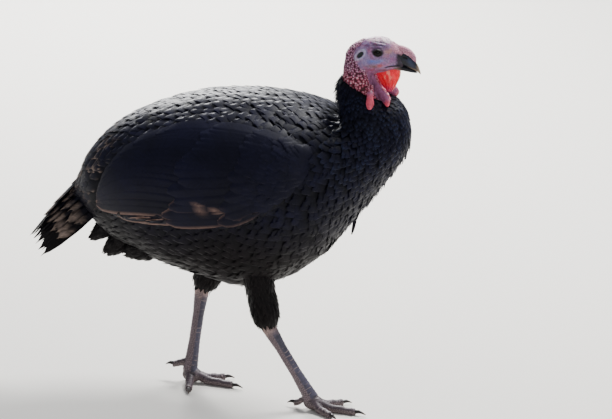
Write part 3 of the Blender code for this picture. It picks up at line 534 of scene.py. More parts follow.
def lieOn(surface, a, b, heading, length, share, depth, lift):
    # Middle lines that follow a surface from their roots a, b in equal steps along it: the heading
    # turns from backwards (against a) towards b; the root lies depth inside the surface and the tip
    # lift outside
    steps = share.shape[1] - 1
    atA, atB = np.zeros((len(a), steps + 1)), np.zeros((len(a), steps + 1))
    atA[:, 0], atB[:, 0] = a, b
    for i in range(steps):
        alongA, alongB = slopes(surface, atA[:, i], atB[:, i])
        normal = unit(np.cross(alongB, alongA))
        back = -unit(alongA)
        course = np.cos(heading)[:, None] * back + np.sin(heading)[:, None] * np.cross(normal, back)
        g11, g12, g22 = (alongA**2).sum(-1), (alongA * alongB).sum(-1), (alongB**2).sum(-1)
        r1, r2 = (course * alongA).sum(-1), (course * alongB).sum(-1)
        det = np.maximum(g11 * g22 - g12**2, 1e-12)
        atA[:, i + 1] = atA[:, i] + (g22 * r1 - g12 * r2) / det * length / steps
        atB[:, i + 1] = atB[:, i] + (g11 * r2 - g12 * r1) / det * length / steps
    normals = outward(surface, atA, atB)
    rise = 1 - (1 - np.clip(share / 0.75, 0, 1)) ** 1.6
    height = -depth[:, None] * (1 - rise) + lift[:, None] * share**1.5
    return surface(atA, atB) + normals * height[..., None], normals


def thinned(points, room, order, cell):
    # the points, taken in that order, that keep their room to all those taken before; cells of a
    # lattice, no smaller than the room, hold what was taken
    taken, chosen = {}, []
    for index in order:
        p = points[index]
        key = tuple((p // cell).astype(int))
        near = [q for x in (-1, 0, 1) for y in (-1, 0, 1) for z in (-1, 0, 1)
                for q in taken.get((key[0] + x, key[1] + y, key[2] + z), ())]
        if near and ((np.array(near) - p) ** 2).sum(1).min() < room[index] ** 2:
            continue
        taken.setdefault(key, []).append(p)
        chosen.append(index)
    return np.array(chosen)


def scatterRoots(surface, rowRange, spacing, keep, seed):
    # Roots in staggered rows, thinned where the rows crowd: spacing is a function of row and turn
    local = np.random.default_rng(seed)
    rows = [rowRange[0]]
    while rows[-1] < rowRange[1]:
        r = rows[-1]
        here, ahead = (surface(np.full(12, x), np.linspace(0, 180, 12)) for x in (r, r + 0.05))
        speed = np.linalg.norm(ahead - here, axis=1).max() / 0.05
        rows.append(r + spacing(np.array([r]), np.array([90.0]))[0] / speed)
    places = []
    for index, r in enumerate(rows[:-1]):
        ring = surface(np.full(181, r), np.linspace(-180, 180, 181))
        run = np.concatenate([[0], np.linalg.norm(np.diff(ring, axis=0), axis=1).cumsum()])
        count = max(int(run[-1] / (0.95 * spacing(np.array([r]), np.array([90.0]))[0])), 6)
        at = (np.arange(count) + 0.5 * (index % 2)) / count * run[-1]
        turn = np.interp(at, run, np.linspace(-180, 180, 181))
        places.append(np.stack([np.full(count, r), turn], -1))
    places = np.concatenate(places)
    step = spacing(places[:, 0], places[:, 1])
    jitter = local.uniform(-1, 1, places.shape)
    alongA, alongB = slopes(surface, places[:, 0], places[:, 1])
    places[:, 0] += 0.16 * jitter[:, 0] * step / np.maximum(np.linalg.norm(alongA, axis=1), 1e-4)
    places[:, 1] += 0.16 * jitter[:, 1] * step / np.maximum(np.linalg.norm(alongB, axis=1), 1e-5)
    places = places[keep(places[:, 0], places[:, 1])]
    points = surface(places[:, 0], places[:, 1])
    step = spacing(places[:, 0], places[:, 1])
    chosen = np.sort(thinned(points, 0.62 * step, local.permutation(len(points)), 0.02))
    return places[chosen, 0], places[chosen, 1]


def outlineOf(table, stations):
    # a feather's half width as a share, by share of its length
    share, width = np.array(table).T
    return np.interp(np.linspace(0, 1, stations), share, width)


# Half widths of the kinds of feather by share of their length, and the columns of their sections
contourOutline = [(0, 0.25), (0.2, 0.62), (0.5, 0.95), (0.7, 1.0), (0.86, 0.9), (0.95, 0.7), (1, 0.48)]
bladeOutline = [(0, 0.25), (0.1, 0.6), (0.35, 0.95), (0.75, 1.0), (0.92, 0.78), (0.975, 0.55), (1, 0.3)]
contourColumns = [-1, -0.8, -0.54, -0.27, 0, 0.27, 0.54, 0.8, 1]
bladeColumns = [-1, -0.6, -0.12, 0, 0.12, 0.6, 1]
plumeOutline = [(0, 0.5), (0.3, 1.0), (0.7, 0.7), (1, 0.06)]
downOutline = [(0, 0.5), (0.3, 1.0), (0.7, 0.85), (0.9, 0.5), (1, 0.15)]
downStyle = {"columns": [-1, -0.5, 0, 0.5, 1], "torn": 0.1, "round": 0.06}
plumeStyle = {"columns": [-1, 0, 1], "torn": 0.05}


# The feathers that cover the body: metres between neighbours by row, then lengths and half widths as
# shares of that, longer and narrower towards the rump
contour = {
    "rows": [0, 2, 4, 7, 8.4, 9.6, 11, 13],
    "spacing": [0.015, 0.016, 0.0155, 0.014, 0.011, 0.0086, 0.0068, 0.0052], "bellyLooser": 0.1,
    "length": (2.4, 3.0), "lengthBy": [1.25, 1.15, 1.0, 1.0], "half": (0.74, 0.92),
    "halfBy": [0.78, 0.85, 1.0, 1.0], "byRow": [0, 3, 5, 13], "stations": 9, "crown": 0.1,
    "style": {"columns": contourColumns, "torn": 0.04, "round": 0.25}, "tone": (0.7, 1.25),
}
pieceLimit = 180000   # triangles


def bodySpacing(row, turn):
    # metres between neighbours: small on the neck, larger to the rump, looser on the belly
    low = smoothStep(110, 165, np.abs(turn))
    return np.interp(row, contour["rows"], contour["spacing"]) * (1 + contour["bellyLooser"] * low)


def keepContour(row, turn):
    # contour feathers grow outside the folded wing
    along, across, _ = wingShares(row, turn)
    inside = (along > 0.09) & (along < 0.97) & (across > 0.1) & (across < 0.86)
    return ~inside


def contourShades(points, share, edge):
    # each feather of its own tone, with painted shade at its root where the feathers above lie over it,
    # a soft lighter band of painted sheen and a dark rim and end of painted shade, fainter on the belly;
    # bluish ends on the neck as painted sheen, worn taupe edges on the rump
    rim = share - 0.12 * edge**2
    colour = coatColour(points) * rng.uniform(*contour["tone"], (len(points), 1, 1, 1))
    dark = smoothStep(0.84, 1, np.abs(edge)) * smoothStep(0.5, 0.7, share)
    dark = np.maximum(smoothStep(0.88, 0.97, share), dark)
    soft = smoothStep(0.36, 0.26, points[..., 2])
    # painted shade at the root, rim and end; painted sheen in the band between
    colour = colour * (0.45 + 0.75 * smoothStep(0.35, 0.82, rim) - (0.6 - 0.35 * soft) * dark)[..., None]
    x = points[..., 0] - walkToBox[0]
    front = smoothStep(0.1, 0.17, x) * smoothStep(0.36, 0.44, points[..., 2])
    ends = smoothStep(0.7, 0.95, rim) * (0.5 + 0.5 * valueNoise(points, 0.012, 10))
    # the neck's and breast's ends get a painted bluish sheen
    colour = blendColours(colour, front * ends * 0.55, coat["slate"])
    rump = smoothStep(-0.19, -0.245, x) * smoothStep(0.3, 0.38, points[..., 2])
    sides = smoothStep(0.45, 0.95, np.abs(edge)) * smoothStep(0.5, 0.72, share)
    worn = np.maximum(smoothStep(0.84, 0.98, share + 0.06 * valueNoise(points, 0.004, 8)), sides)
    streak = smoothStep(-0.25, 0.55, valueNoise(points, 0.014, 9))
    return blendColours(colour, rump * worn * streak, coat["taupe"])


def makeContour():
    # Feathers rooted all over the coat but under the folded wings. They lie backwards, leaning down
    # the body's sides, and are laid flatter on the neck, where they also start less deep.
    stations = contour["stations"]
    share = np.linspace(0, 1, stations)
    row, turn = scatterRoots(coatSurface, (0.15, body["neckTop"] + 0.1), bodySpacing, keepContour, 21)
    step = bodySpacing(row, turn)
    count = len(row)
    byRow = contour["byRow"]
    length = step * rng.uniform(*contour["length"], count) * np.interp(row, byRow, contour["lengthBy"])
    half = step * rng.uniform(*contour["half"], count) * np.interp(row, byRow, contour["halfBy"])
    neck = smoothStep(9.6, 12.5, row)
    lean = np.sign(turn) * 0.1 * smoothStep(20, 90, np.abs(turn)) * (row < 8)
    heading = rng.normal(0, 0.08, count) + lean
    depth = 0.0055 - 0.002 * neck
    lift = 0.0006 + 0.0018 * rng.random(count) * (1 + 0.3 * neck)
    middles, normals = lieOn(coatSurface, row, turn, heading, length, share[None], depth, lift)
    roots = np.stack([row / 14, (turn + 180) / 360], -1)
    roll = rng.normal(0, 1, count) * (0.05 + 0.09 * smoothStep(105, 150, np.abs(turn)))
    made = featherSet(middles, normals, half, outlineOf(contourOutline, stations),
                      contour["crown"] * half, roll, contourShades, roots, contour["style"])
    splitCoat("contourFeathers", made, count)


def splitCoat(name, made, count):
    # pieces under the limit, each a run of whole feathers
    points, quads, tris, colours, maps = made
    pointCount, quadCount, triCount = (len(array) // count for array in (points, quads, tris))
    most = int(pieceLimit / (quadCount * 2 + triCount))
    for part, start in enumerate(range(0, count, most)):
        end = min(start + most, count)
        q = quads[start * quadCount:end * quadCount] - start * pointCount
        t = tris[start * triCount:end * triCount] - start * pointCount
        span = slice(start * pointCount, end * pointCount)
        label = name if count <= most else f"{name}{part + 1}"
        makeCoat(label, (points[span], q, t, colours[span], {k: v[span] for k, v in maps.items()}))


makeContour()
print("contour feathers laid")


# Tiers of long feathers: primaries, secondaries, greater and median coverts. Roots and tips run from
# the highest to the lowest, as shares of the wing from front to tip and from its upper to its lower
# edge; heights over the coat's line in metres; worn is where the pale margins begin and are full
wingTiers = [
    {"count": 9, "half": 0.0078, "height": (0.0016, 0.001), "roll": 4,
     "roots": [(0.44, 0.86), (0.5, 0.92), (0.56, 0.97)],
     "tips": [(0.995, 0.78), (0.95, 0.92), (0.86, 1.0), (0.74, 1.02)],
     "stations": 16, "fringe": 1.0, "worn": (0.1, 0.6)},
    {"count": 15, "half": 0.0165, "height": (0.0016, 0.003), "roll": 3,
     "roots": [(0.34, 0.06), (0.42, 0.36), (0.47, 0.66), (0.5, 0.9)],
     "tips": [(0.64, -0.02), (0.78, 0.0), (0.9, 0.1), (0.965, 0.32), (0.995, 0.72)],
     "stations": 16, "fringe": 0.8, "worn": (0.72, 1.0)},
    {"count": 15, "half": 0.0155, "height": (0.0024, 0.004), "roll": 3,
     "roots": [(0.24, 0.06), (0.29, 0.42), (0.34, 0.92)],
     "tips": [(0.47, 0.0), (0.56, 0.42), (0.62, 0.97)],
     "stations": 11, "fringe": 0.6, "worn": (0.78, 1.0)},
    {"count": 14, "half": 0.014, "height": (0.003, 0.0048), "roll": 3,
     "roots": [(0.15, 0.08), (0.18, 0.42), (0.23, 0.93)],
     "tips": [(0.32, 0.02), (0.37, 0.42), (0.43, 0.97)],
     "stations": 9, "fringe": 0.3, "worn": (0.85, 1.0)},
]
# Rows of small coverts over the wing's front
lesserCoverts = {"rows": 5, "count": 15, "half": 0.0115, "first": 0.0, "step": 0.047,
                 "reach": 0.125, "height": (0.003, 0.005), "stations": 7}
wornPatches = [(-0.046, 0.357, 0.01), (-0.02, 0.354, 0.008)]   # x, z and radius of pale worn spots


def onWing(side, along, across):
    # row and turn of the body at shares along and across the wing
    row = wing["front"] + (wing["rear"] - wing["front"]) * along
    upper, lower, _ = np.moveaxis(rowsAt(wing["shape"], 6 * np.clip(along, 0, 1)), -1, 0)
    return row, side * (upper + (lower - upper) * across)


def wingShades(fringe):
    # painted shade towards the root, where the feathers above lie over it, and a thin pinkish brown
    # margin on the long feathers of the lower rim
    def shades(points, share, across):
        # painted shade towards the root
        colour = coatColour(points) * (0.95 + 0.55 * share)[..., None]
        margin = smoothStep(0.8, 1.0, np.abs(across)) * smoothStep(0.15, 0.5, share)
        colour = blendColours(colour, margin * fringe * 0.9, coat["fringe"])
        colour = blendColours(colour, smoothStep(0.93, 1.0, share) * 0.12 * fringe, coat["fringe"])
        for x, z, radius in wornPatches:
            far = np.hypot(points[..., 0] - walkToBox[0] - x, points[..., 2] - z) / radius
            streak = valueNoise(points * (0.35, 1, 1.6), 0.003, 12)
            worn = smoothStep(0.2, 0.9, np.exp(-far**2) * (1 + 0.7 * streak))
            colour = blendColours(colour, worn * 0.55, coat["fringe"])
        return colour
    return shades


def layOnWing(side, root, tip, height, half, roll, outline, fringe, style):
    # feathers whose middle lines run straight from root to tip in the wing's shares, at a height
    # over the coat's line by share of their length
    stations = len(height)
    at = root[:, None] + (tip - root)[:, None] * np.linspace(0, 1, stations)[None, :, None]
    row, turn = onWing(side, at[..., 0], at[..., 1])
    normals = outward(coatSurface, row, turn)
    middles = coatSurface(row, turn) + normals * height[None, :, None]
    return featherSet(middles, normals, half, outlineOf(outline, stations), 0.12 * half,
                      np.full(len(root), -side * roll), wingShades(fringe), root * 0.5 + 0.25, style)


def wingTier(side, tier):
    # long feathers: the root is sunk, and the height grows to the tip
    stations, count = tier["stations"], tier["count"]
    share, which = np.linspace(0, 1, stations), np.linspace(0, 1, count)
    root = rowsAt(tier["roots"], which * (len(tier["roots"]) - 1)) + rng.normal(0, 0.006, (count, 2))
    tip = rowsAt(tier["tips"], which * (len(tier["tips"]) - 1))
    tip = tip + rng.normal(0, (0.012, 0.008), tip.shape)
    low, high = tier["height"]
    rise = 1 - (1 - np.clip(share / 0.3, 0, 1)) ** 2
    height = -0.0035 * (1 - rise) + (low + (high - low) * share) * rise
    half = tier["half"] * rng.uniform(0.93, 1.07, count)
    fringe = tier["fringe"] * smoothStep(*tier["worn"], which)[:, None, None]
    return layOnWing(side, root, tip, height, half, np.radians(tier["roll"]), bladeOutline, fringe,
                     {"columns": bladeColumns, "shaft": 0.0003, "torn": 0.012})


def lesserTier(side, index):
    # one row of small coverts, set off by half a feather from the row before
    stations, count = lesserCoverts["stations"], lesserCoverts["count"]
    share = np.linspace(0, 1, stations)
    which = (np.arange(count) + 0.5 * (index % 2)) / count
    start = lesserCoverts["first"] + lesserCoverts["step"] * index
    root = np.stack([start + 0.03 * which, 0.02 + 0.95 * which], -1) + rng.normal(0, 0.007, (count, 2))
    tip = root + np.array([lesserCoverts["reach"], 0.0]) + rng.normal(0, 0.008, (count, 2))
    low, high = lesserCoverts["height"]
    height = -0.004 + (0.004 + low) * np.clip(share / 0.4, 0, 1) + (high - low) * share**2
    half = lesserCoverts["half"] * rng.uniform(0.9, 1.1, count)
    return layOnWing(side, root, tip, height, half, 0.05, contourOutline, np.zeros((count, 1, 1)),
                     {"columns": contourColumns, "torn": 0.02, "round": 0.2})


def joinFeathers(sets):
    # several feather sets as one
    points, quads, tris = joinArrays([s[:3] for s in sets])
    colours = np.concatenate([s[3] for s in sets])
    maps = {key: np.concatenate([s[4][key] for s in sets]) for key in ("OFBake", "vane", "rims")}
    return points, quads, tris, colours, maps


def makeWings():
    # the folded wings: tiers of long feathers with rows of small coverts over their front
    for label, side, turned in (("R", "Right", 1), ("L", "Left", -1)):
        sets = [wingTier(turned, tier) for tier in wingTiers]
        sets += [lesserTier(turned, i) for i in range(lesserCoverts["rows"])]
        makeCoat("wing" + side, joinFeathers(sets), ["wing_" + label])


makeWings()
print("wings laid")


# The folded tail: its upper side's middle line as x, z; drop and spread of the pairs from the middle
# outwards
tail = {
    "ridge": [(-0.236, 0.374), (-0.272, 0.348), (-0.306, 0.313), (-0.337, 0.279), (-0.361, 0.247)],
    "hang": (0.6, 0.0, -0.8), "pairs": 9, "reach": (0.1, 1.0),
    "drop": 0.042, "dropLoss": 0.018, "step": 0.0012, "first": 0.0008, "spread": 0.0036,
    "slope": 6.0, "slopeStep": 8.5, "half": 0.0125, "crossing": 0.0014, "stations": 14,
    "falls": 0.012, "shorter": 0.05,
    "style": {"columns": bladeColumns, "shaft": 0.0003, "torn": 0.05, "round": 0.04},
}
# Upper coverts in tiers: pairs, reach along the ridge, half width, lift over the tail feathers, wear
tailCoverts = [(7, (0.34, 0.8), 0.012, 0.003, 0.95), (6, (0.2, 0.62), 0.013, 0.0052, 0.8),
               (6, (0.02, 0.4), 0.0135, 0.0075, 0.6)]
tailOutline = [(0, 0.3), (0.1, 0.7), (0.5, 1.0), (0.78, 0.88), (0.9, 0.58), (0.96, 0.32), (1, 0.08)]


def tailPlace(side, k, share):
    # a point of the folded tail: k runs from the middle pair (0) to the outermost (6)
    ridge = rowsAt(tail["ridge"], share * (len(tail["ridge"]) - 1))
    hang = (k / 6) ** 1.3 * (tail["drop"] - tail["dropLoss"] * share) + tail["step"] * k
    across = tail["first"] + k * tail["spread"] * (1 + share)
    place = np.stack([ridge[..., 0], side * across, ridge[..., 1]], -1)
    return place + np.array(tail["hang"]) * hang[..., None] + walkToBox


def tailShades(worn):
    # taupe ends in streaks along the barbs, over near-black with painted shade towards the root
    def shades(points, share, across):
        # painted shade towards the root
        colour = coatColour(points) * (0.6 + 0.5 * share)[..., None]
        ends = smoothStep(0.55, 0.78, share + 0.08 * valueNoise(points, 0.003, 14))
        ends *= 1 - 0.7 * smoothStep(0.5, 1, np.abs(across))
        streak = smoothStep(-0.85, 0.15, valueNoise(points, 0.0045, 15))
        return blendColours(colour, worn * ends * streak, coat["taupe"])
    return shades


def tailTier(pairs, reach, half, lift, worn):
    # feathers on both sides of the middle, each turned further down than the one inside it; every
    # other pair ends shorter
    share = np.linspace(0, 1, tail["stations"])
    k = np.repeat(np.linspace(0, 6, pairs), 2)
    side = np.tile([-1.0, 1.0], pairs)
    count = len(k)
    root = reach[0] + rng.uniform(-0.01, 0.01, count)
    tip = reach[1] - tail["falls"] * k + rng.uniform(-0.035, 0.005, count)
    tip = tip - tail["shorter"] * (np.arange(count) // 2 % 2)
    at = root[:, None] + (tip - root)[:, None] * share
    middles = tailPlace(side[:, None], k[:, None] + 0 * at, at)
    angle = np.radians(tail["slope"] + tail["slopeStep"] * k)
    hang = np.array(tail["hang"])
    up = np.stack([0 * angle, side * np.sin(angle), 0 * angle], -1) - hang * np.cos(angle)[:, None]
    lean = np.stack([0 * angle, side * np.cos(angle), 0 * angle], -1) + hang * np.sin(angle)[:, None]
    over = lift + tail["crossing"] * (side < 0) * np.maximum(0, 1 - k)
    rise = np.minimum(1, 2.5 * share)
    middles = middles + up[:, None] * (over[:, None] * rise)[..., None]
    middles = middles + lean[:, None] * (half * 0.25)
    width = half * rng.uniform(0.92, 1.05, count)
    worn = worn * rng.uniform(0.55, 1.0, count)[:, None, None]
    normals = np.broadcast_to(up[:, None], middles.shape)
    roots = np.stack([k / 7 * 0.5 + 0.5 * (side > 0) * 0.9, root], -1)
    return featherSet(middles, normals, width, outlineOf(tailOutline, tail["stations"]),
                      0.1 * width, np.zeros(count), tailShades(worn), roots, tail["style"])


def makeTail():
    # the tail feathers, then the coverts over their roots
    sets = [tailTier(tail["pairs"], tail["reach"], tail["half"], 0.0, 0.0)]
    sets += [tailTier(*tier) for tier in tailCoverts]
    makeCoat("tailFeathers", joinFeathers(sets), ["tail"])


makeTail()
print("tail laid")


# Places of the legs; the inner toe's turn and the hind toe's heights differ, as the left foot is
# about to lift
legs = {
    "R": {"side": -1, "knee": (0.014, -0.058, 0.29), "hock": (0.043, -0.055, 0.139),
          "foot": (0.112, -0.045, 0.02), "heading": math.radians(-8),
          "inner": 44.0, "hind": [0.022, 0.02, 0.015, 0.01, 0.0075]},
    "L": {"side": 1, "knee": (-0.035, 0.058, 0.29), "hock": (-0.094, 0.055, 0.158),
          "foot": (-0.112, 0.045, 0.02), "heading": math.radians(-12),
          "inner": 66.0, "hind": [0.034, 0.033, 0.031, 0.0285, 0.026]},
}
# Drumstick: share of the way from knee to hock, half length along x, half width
drumstick = [(0.0, 0.03, 0.026), (0.35, 0.024, 0.025), (0.62, 0.0205, 0.023),
             (0.82, 0.0214, 0.0208), (0.93, 0.0185, 0.0172), (1.0, 0.0115, 0.0105)]
loose = {"neck": 900, "breast": 260, "belly": 1100}   # how many loose plumes
# Down over the drumsticks and the vent's clumps: rings of roots, how many stand round a ring by its
# level, then ranges of length, half width and lift
thighDown = {"levels": np.arange(0.13, 0.86, 0.04), "counts": ([0, 0.2, 0.8], [30, 38, 42]),
             "length": (0.018, 0.027), "half": (0.0026, 0.0038), "lift": (0.0008, 0.0038)}
ventDown = {"levels": np.arange(0.34, 1.1, 0.06), "counts": ([0.3, 0.6, 1.0], [22, 30, 34]),
            "length": (0.013, 0.022), "half": (0.0026, 0.004), "lift": (0.0, 0.003)}
# Clumps of down under the tail on both sides: root, tip, radius
ventTufts = [
    ((-0.222, 0.016, 0.292), (-0.262, 0.014, 0.25), 0.019),
    ((-0.192, 0.018, 0.276), (-0.241, 0.016, 0.225), 0.024),
    ((-0.15, 0.034, 0.262), (-0.206, 0.03, 0.236), 0.028),
]


def limbSurface(start, end, deepAt, wideAt, sag=(0, 0, 0)):
    # An oval tube round a line from start to end, with its half sizes ahead and across by share of
    # the way; a is 1 less the share, so that it falls towards the end, and b is in degrees. The
    # middle line sags by share times 1 less the share.
    line = unit(end - start)
    across = unit(np.cross(line, np.array([1.0, 0, 0])))
    ahead = np.cross(across, line)
    sag = np.array(sag) * np.linalg.norm(end - start)

    def surface(a, b):
        share, turn = 1 - a, -np.radians(b)
        middle = start + (end - start) * share[..., None] + sag * (share * (1 - share))[..., None]
        return (middle + ahead * (deepAt(share) * np.cos(turn))[..., None]
                + across * (wideAt(share) * np.sin(turn))[..., None] + walkToBox)
    return surface


def drumstickSurface(leg):
    # an oval tube from knee to hock
    shares, deep, wide = np.array(drumstick).T
    return limbSurface(np.array(leg["knee"]), np.array(leg["hock"]),
                       lambda share: np.interp(share, shares, deep),
                       lambda share: np.interp(share, shares, wide))


def tuftSurface(root, tip, radius):
    # a drooping teardrop with a blunt end
    def wide(share):
        return radius * np.interp(share, [0, 0.3, 0.6, 0.85, 1.0], [0.7, 0.85, 0.62, 0.32, 0.1])
    return limbSurface(root, tip, wide, wide, (0.1, 0, -0.12))


def plumeShades(points, share, across):
    # the coat's colour, with painted shade towards the root
    return coatColour(points) * (0.6 + 0.5 * share)[..., None]


def downOver(surface, down):
    # soft overlapping plumes in rings round a limb or clump
    stations = 6
    share = np.linspace(0, 1, stations)
    a, b = [], []
    for index, level in enumerate(down["levels"]):
        around = int(np.interp(level, *down["counts"]))
        a.append(np.full(around, level) + rng.uniform(-0.015, 0.015, around))
        b.append(360 * (np.arange(around) + 0.5 * (index % 2)) / around + rng.uniform(-4, 4, around))
    a, b = np.concatenate(a), np.concatenate(b)
    count = len(a)
    halves = rng.uniform(*down["half"], count)
    heading, length = rng.normal(0, 0.14, count), rng.uniform(*down["length"], count)
    middles, normals = lieOn(surface, a, b, heading, length, share[None], np.full(count, 0.0035),
                             rng.uniform(*down["lift"], count))
    return featherSet(middles, normals, halves, outlineOf(downOutline, stations), 0.2 * halves,
                      rng.normal(0, 0.25, count), plumeShades, np.stack([np.clip(a, 0, 1), b / 400], -1),
                      downStyle)


def makeThighs():
    # down over both drumsticks
    for label, leg in legs.items():
        makeCoat("thighFeathers" + label, downOver(drumstickSurface(leg), thighDown))


def makeVent():
    # clumps of soft plumes that droop to blunt ends
    sets = []
    for root, tip, radius in ventTufts:
        for side in (-1, 1):
            surface = tuftSurface(np.array(root) * (1, side, 1), np.array(tip) * (1, side, 1), radius)
            sets.append(downOver(surface, ventDown))
    makeCoat("ventPlumes", joinFeathers(sets))


def loosePlumes(row, turn, heading, length, lift, half, turnShare):
    # thin plumes on the coat, rooted 3 mm deep
    stations, count = 6, len(row)
    middles, normals = lieOn(coatSurface, row, turn, heading, length, np.linspace(0, 1, stations)[None],
                             np.full(count, 0.003), lift)
    half = rng.uniform(*half, count)
    return featherSet(middles, normals, half, outlineOf(plumeOutline, stations), 0.2 * half,
                      rng.normal(0, 0.3, count), plumeShades, np.stack([row / 14, turnShare], -1),
                      plumeStyle)


def makeLoose():
    # thin loose feathers that stand out round the neck, most on the nape, then on the breast, then on
    # the belly
    count = loose["neck"]
    row, turn = rng.uniform(9.9, 13.05, count), rng.uniform(-180, 180, count)
    nape = 1 - smoothStep(35, 80, np.abs(turn))
    length = rng.uniform(0.012, 0.019, count)
    lift = rng.uniform(0.001, 0.0026, count) + nape * rng.uniform(0.001, 0.0045, count)
    heading = rng.normal(0, 0.22, count)
    sets = [loosePlumes(row, turn, heading, length, lift, (0.001, 0.0022), (turn + 180) / 360)]
    count = loose["breast"]
    row, turn = rng.uniform(7.2, 10.4, count), 180 + rng.uniform(-26, 26, count)
    length = rng.uniform(0.018, 0.03, count)
    heading, lift = rng.normal(0, 0.2, count), rng.uniform(0.001, 0.006, count)
    sets.append(loosePlumes(row, turn, heading, length, lift, (0.0018, 0.0034), 0.9 * turn / 360))
    count = loose["belly"]
    row, turn = rng.uniform(1.2, 7.6, count), 180 + rng.normal(0, 34, count)
    length = rng.uniform(0.018, 0.032, count)
    heading, lift = rng.normal(0, 0.25, count), rng.uniform(0.001, 0.005, count)
    sets.append(loosePlumes(row, turn, heading, length, lift, (0.0012, 0.0028), 0.6 * np.abs(turn) / 360))
    makeCoat("looseFeathers", joinFeathers(sets))


makeThighs()
makeVent()
makeLoose()
print("loose plumes laid")

beard = {
    "path": [(0.164, 0.0, 0.35), (0.1715, 0.0, 0.333), (0.173, 0.0, 0.315),
             (0.1705, 0.0, 0.298), (0.168, 0.0, 0.286)],
    "radii": [0.005, 0.0048, 0.004, 0.0026, 0.0012], "count": 70, "stations": 9, "half": 0.0007,
    "outline": [(0, 1), (0.8, 0.9), (1, 0.15)],
}


def makeBeard():
    # A short tassel of coarse bristles that run together at its end: each keeps its share of the
    # tassel's radius from the root to its own end
    count, stations = beard["count"], beard["stations"]
    a = rng.uniform(0, 2 * np.pi, count)
    out = np.sqrt(rng.random(count)) * 0.85
    ring = np.stack([np.cos(a), np.sin(a), 0 * a], -1)
    around = ring * out[:, None]
    ends = rng.uniform(0.75, 1.0, count)
    at = np.linspace(0, 1, stations)[None] * ends[:, None] * 4
    radius = np.interp(at, range(5), beard["radii"])
    middles = rowsAt(beard["path"], at) + around[:, None] * radius[..., None] + walkToBox
    normals = np.broadcast_to(ring[:, None], middles.shape)
    made = featherSet(middles, normals, np.full(count, beard["half"]),
                      outlineOf(beard["outline"], stations), np.full(count, 0.0005), np.zeros(count),
                      plumeShades, 0.5 + 0.1 * rng.random((count, 2)), {"columns": [-1, 0, 1]})
    makeCoat("beardBristles", made, ["beard"])


makeBeard()


# The skin under the coat: how far it lies inside the coat's outer line and the drumsticks', its
# rings and corners, and the remesh
skinUnder = {"depth": 0.0065, "limbDepth": 0.003, "trunk": (90, 96), "limb": (24, 32), "voxel": 0.004,
             "smoothing": 3, "shade": 0.5}


def makeBodySkin():
    # the coat's surface drawn in by its depth, with the drumsticks, in one closed skin
    rings, corners = skinUnder["trunk"]
    row = np.linspace(0.0, body["neckTop"], rings)[:, None] + np.zeros((1, corners))
    turn = np.broadcast_to(np.linspace(-180, 180, corners, endpoint=False)[None], row.shape)
    parts = [tubeArrays(coatSurface(row, turn) - outward(coatSurface, row, turn) * skinUnder["depth"])]
    rings, corners = skinUnder["limb"]
    for leg in legs.values():
        surface = drumstickSurface(leg)
        a = np.linspace(1, 0.03, rings)[:, None] + np.zeros((1, corners))
        b = np.broadcast_to(np.linspace(0, 360, corners, endpoint=False)[None], a.shape)
        parts.append(tubeArrays(surface(a, b) - outward(surface, a, b) * skinUnder["limbDepth"]))
    skin = remeshed("bodySkin", parts, skinUnder["voxel"], skinUnder["smoothing"], plumage)
    points, _ = meshPlaces(skin.data)
    paintMesh(skin.data, coatColour(points) * skinUnder["shade"])
    layer = skin.data.uv_layers.new(name="vane")
    corners = np.zeros(len(skin.data.loops), np.int32)
    skin.data.loops.foreach_get("vertex_index", corners)
    layer.data.foreach_set("uv", (points[corners][:, [0, 2]] * 1000).astype(np.float32).ravel())
    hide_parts("torso", "neck", "thigh_R", "thigh_L")
    print("bodySkin faces", len(skin.data.polygons))


makeBodySkin()


# The bare head and throat, in one skin
head = {
    "at": (0.205, 0.0, 0.595), "turn": math.radians(8),
    # in the head's own frame, from the nape forwards: x, upper z, lower z, half width
    "skull": [(-0.046, -0.003, -0.015, 0.007), (-0.04, 0.008, -0.024, 0.014),
              (-0.03, 0.0165, -0.0305, 0.018), (-0.015, 0.024, -0.0335, 0.02),
              (0.0, 0.0275, -0.0335, 0.02), (0.012, 0.0272, -0.0315, 0.0188),
              (0.022, 0.0245, -0.029, 0.0165), (0.032, 0.018, -0.0268, 0.0125),
              (0.04, 0.011, -0.025, 0.0095), (0.046, 0.005, -0.0225, 0.007)],
    "snood": [(0.03, 0.021, 0.004, 0.0035), (0.038, 0.015, -0.001, 0.005),
              (0.047, 0.0125, -0.002, 0.0052), (0.056, 0.0085, -0.006, 0.005),
              (0.063, 0.0015, -0.012, 0.0046), (0.067, -0.0055, -0.014, 0.003)],
    # bare throat, not in the head's frame: rear x, z, front x, z, half width
    "throat": [(0.153, 0.544, 0.234, 0.51, 0.03), (0.1545, 0.558, 0.226, 0.526, 0.0275),
               (0.1555, 0.572, 0.214, 0.542, 0.024), (0.159, 0.585, 0.208, 0.56, 0.0205),
               (0.168, 0.596, 0.206, 0.578, 0.015)],
    "throatFoot": -0.25, "voxel": 0.0007, "smoothing": 5,
    # smooth part of the face as x, z; the skin round it is caruncled
    "face": [(-0.0105, 0.0327), (0.0503, 0.024), (0.0829, -0.013), (0.0449, -0.029),
             (0.009, -0.0325), (-0.0084, -0.0274), (-0.0203, -0.0187), (-0.0257, -0.0098),
             (-0.029, -0.0009), (-0.0268, 0.0094), (-0.0181, 0.0154), (-0.0116, 0.0247)],
}
# Teardrop lobe and fleshy strip on both sides of the throat: path, radii, how flat
throatLobes = [
    ([(0.2045, 0.021, 0.547), (0.206, 0.0305, 0.5415), (0.2072, 0.0385, 0.531),
      (0.208, 0.0425, 0.5215), (0.2082, 0.0435, 0.5125)],
     [0.004, 0.005, 0.0062, 0.007, 0.0036], 0.9),
    ([(0.201, 0.013, 0.564), (0.2085, 0.015, 0.55), (0.2185, 0.019, 0.537),
      (0.229, 0.025, 0.527), (0.233, 0.029, 0.52), (0.2335, 0.03, 0.515)],
     [0.0045, 0.0062, 0.007, 0.0082, 0.0074, 0.003], 0.6),
]
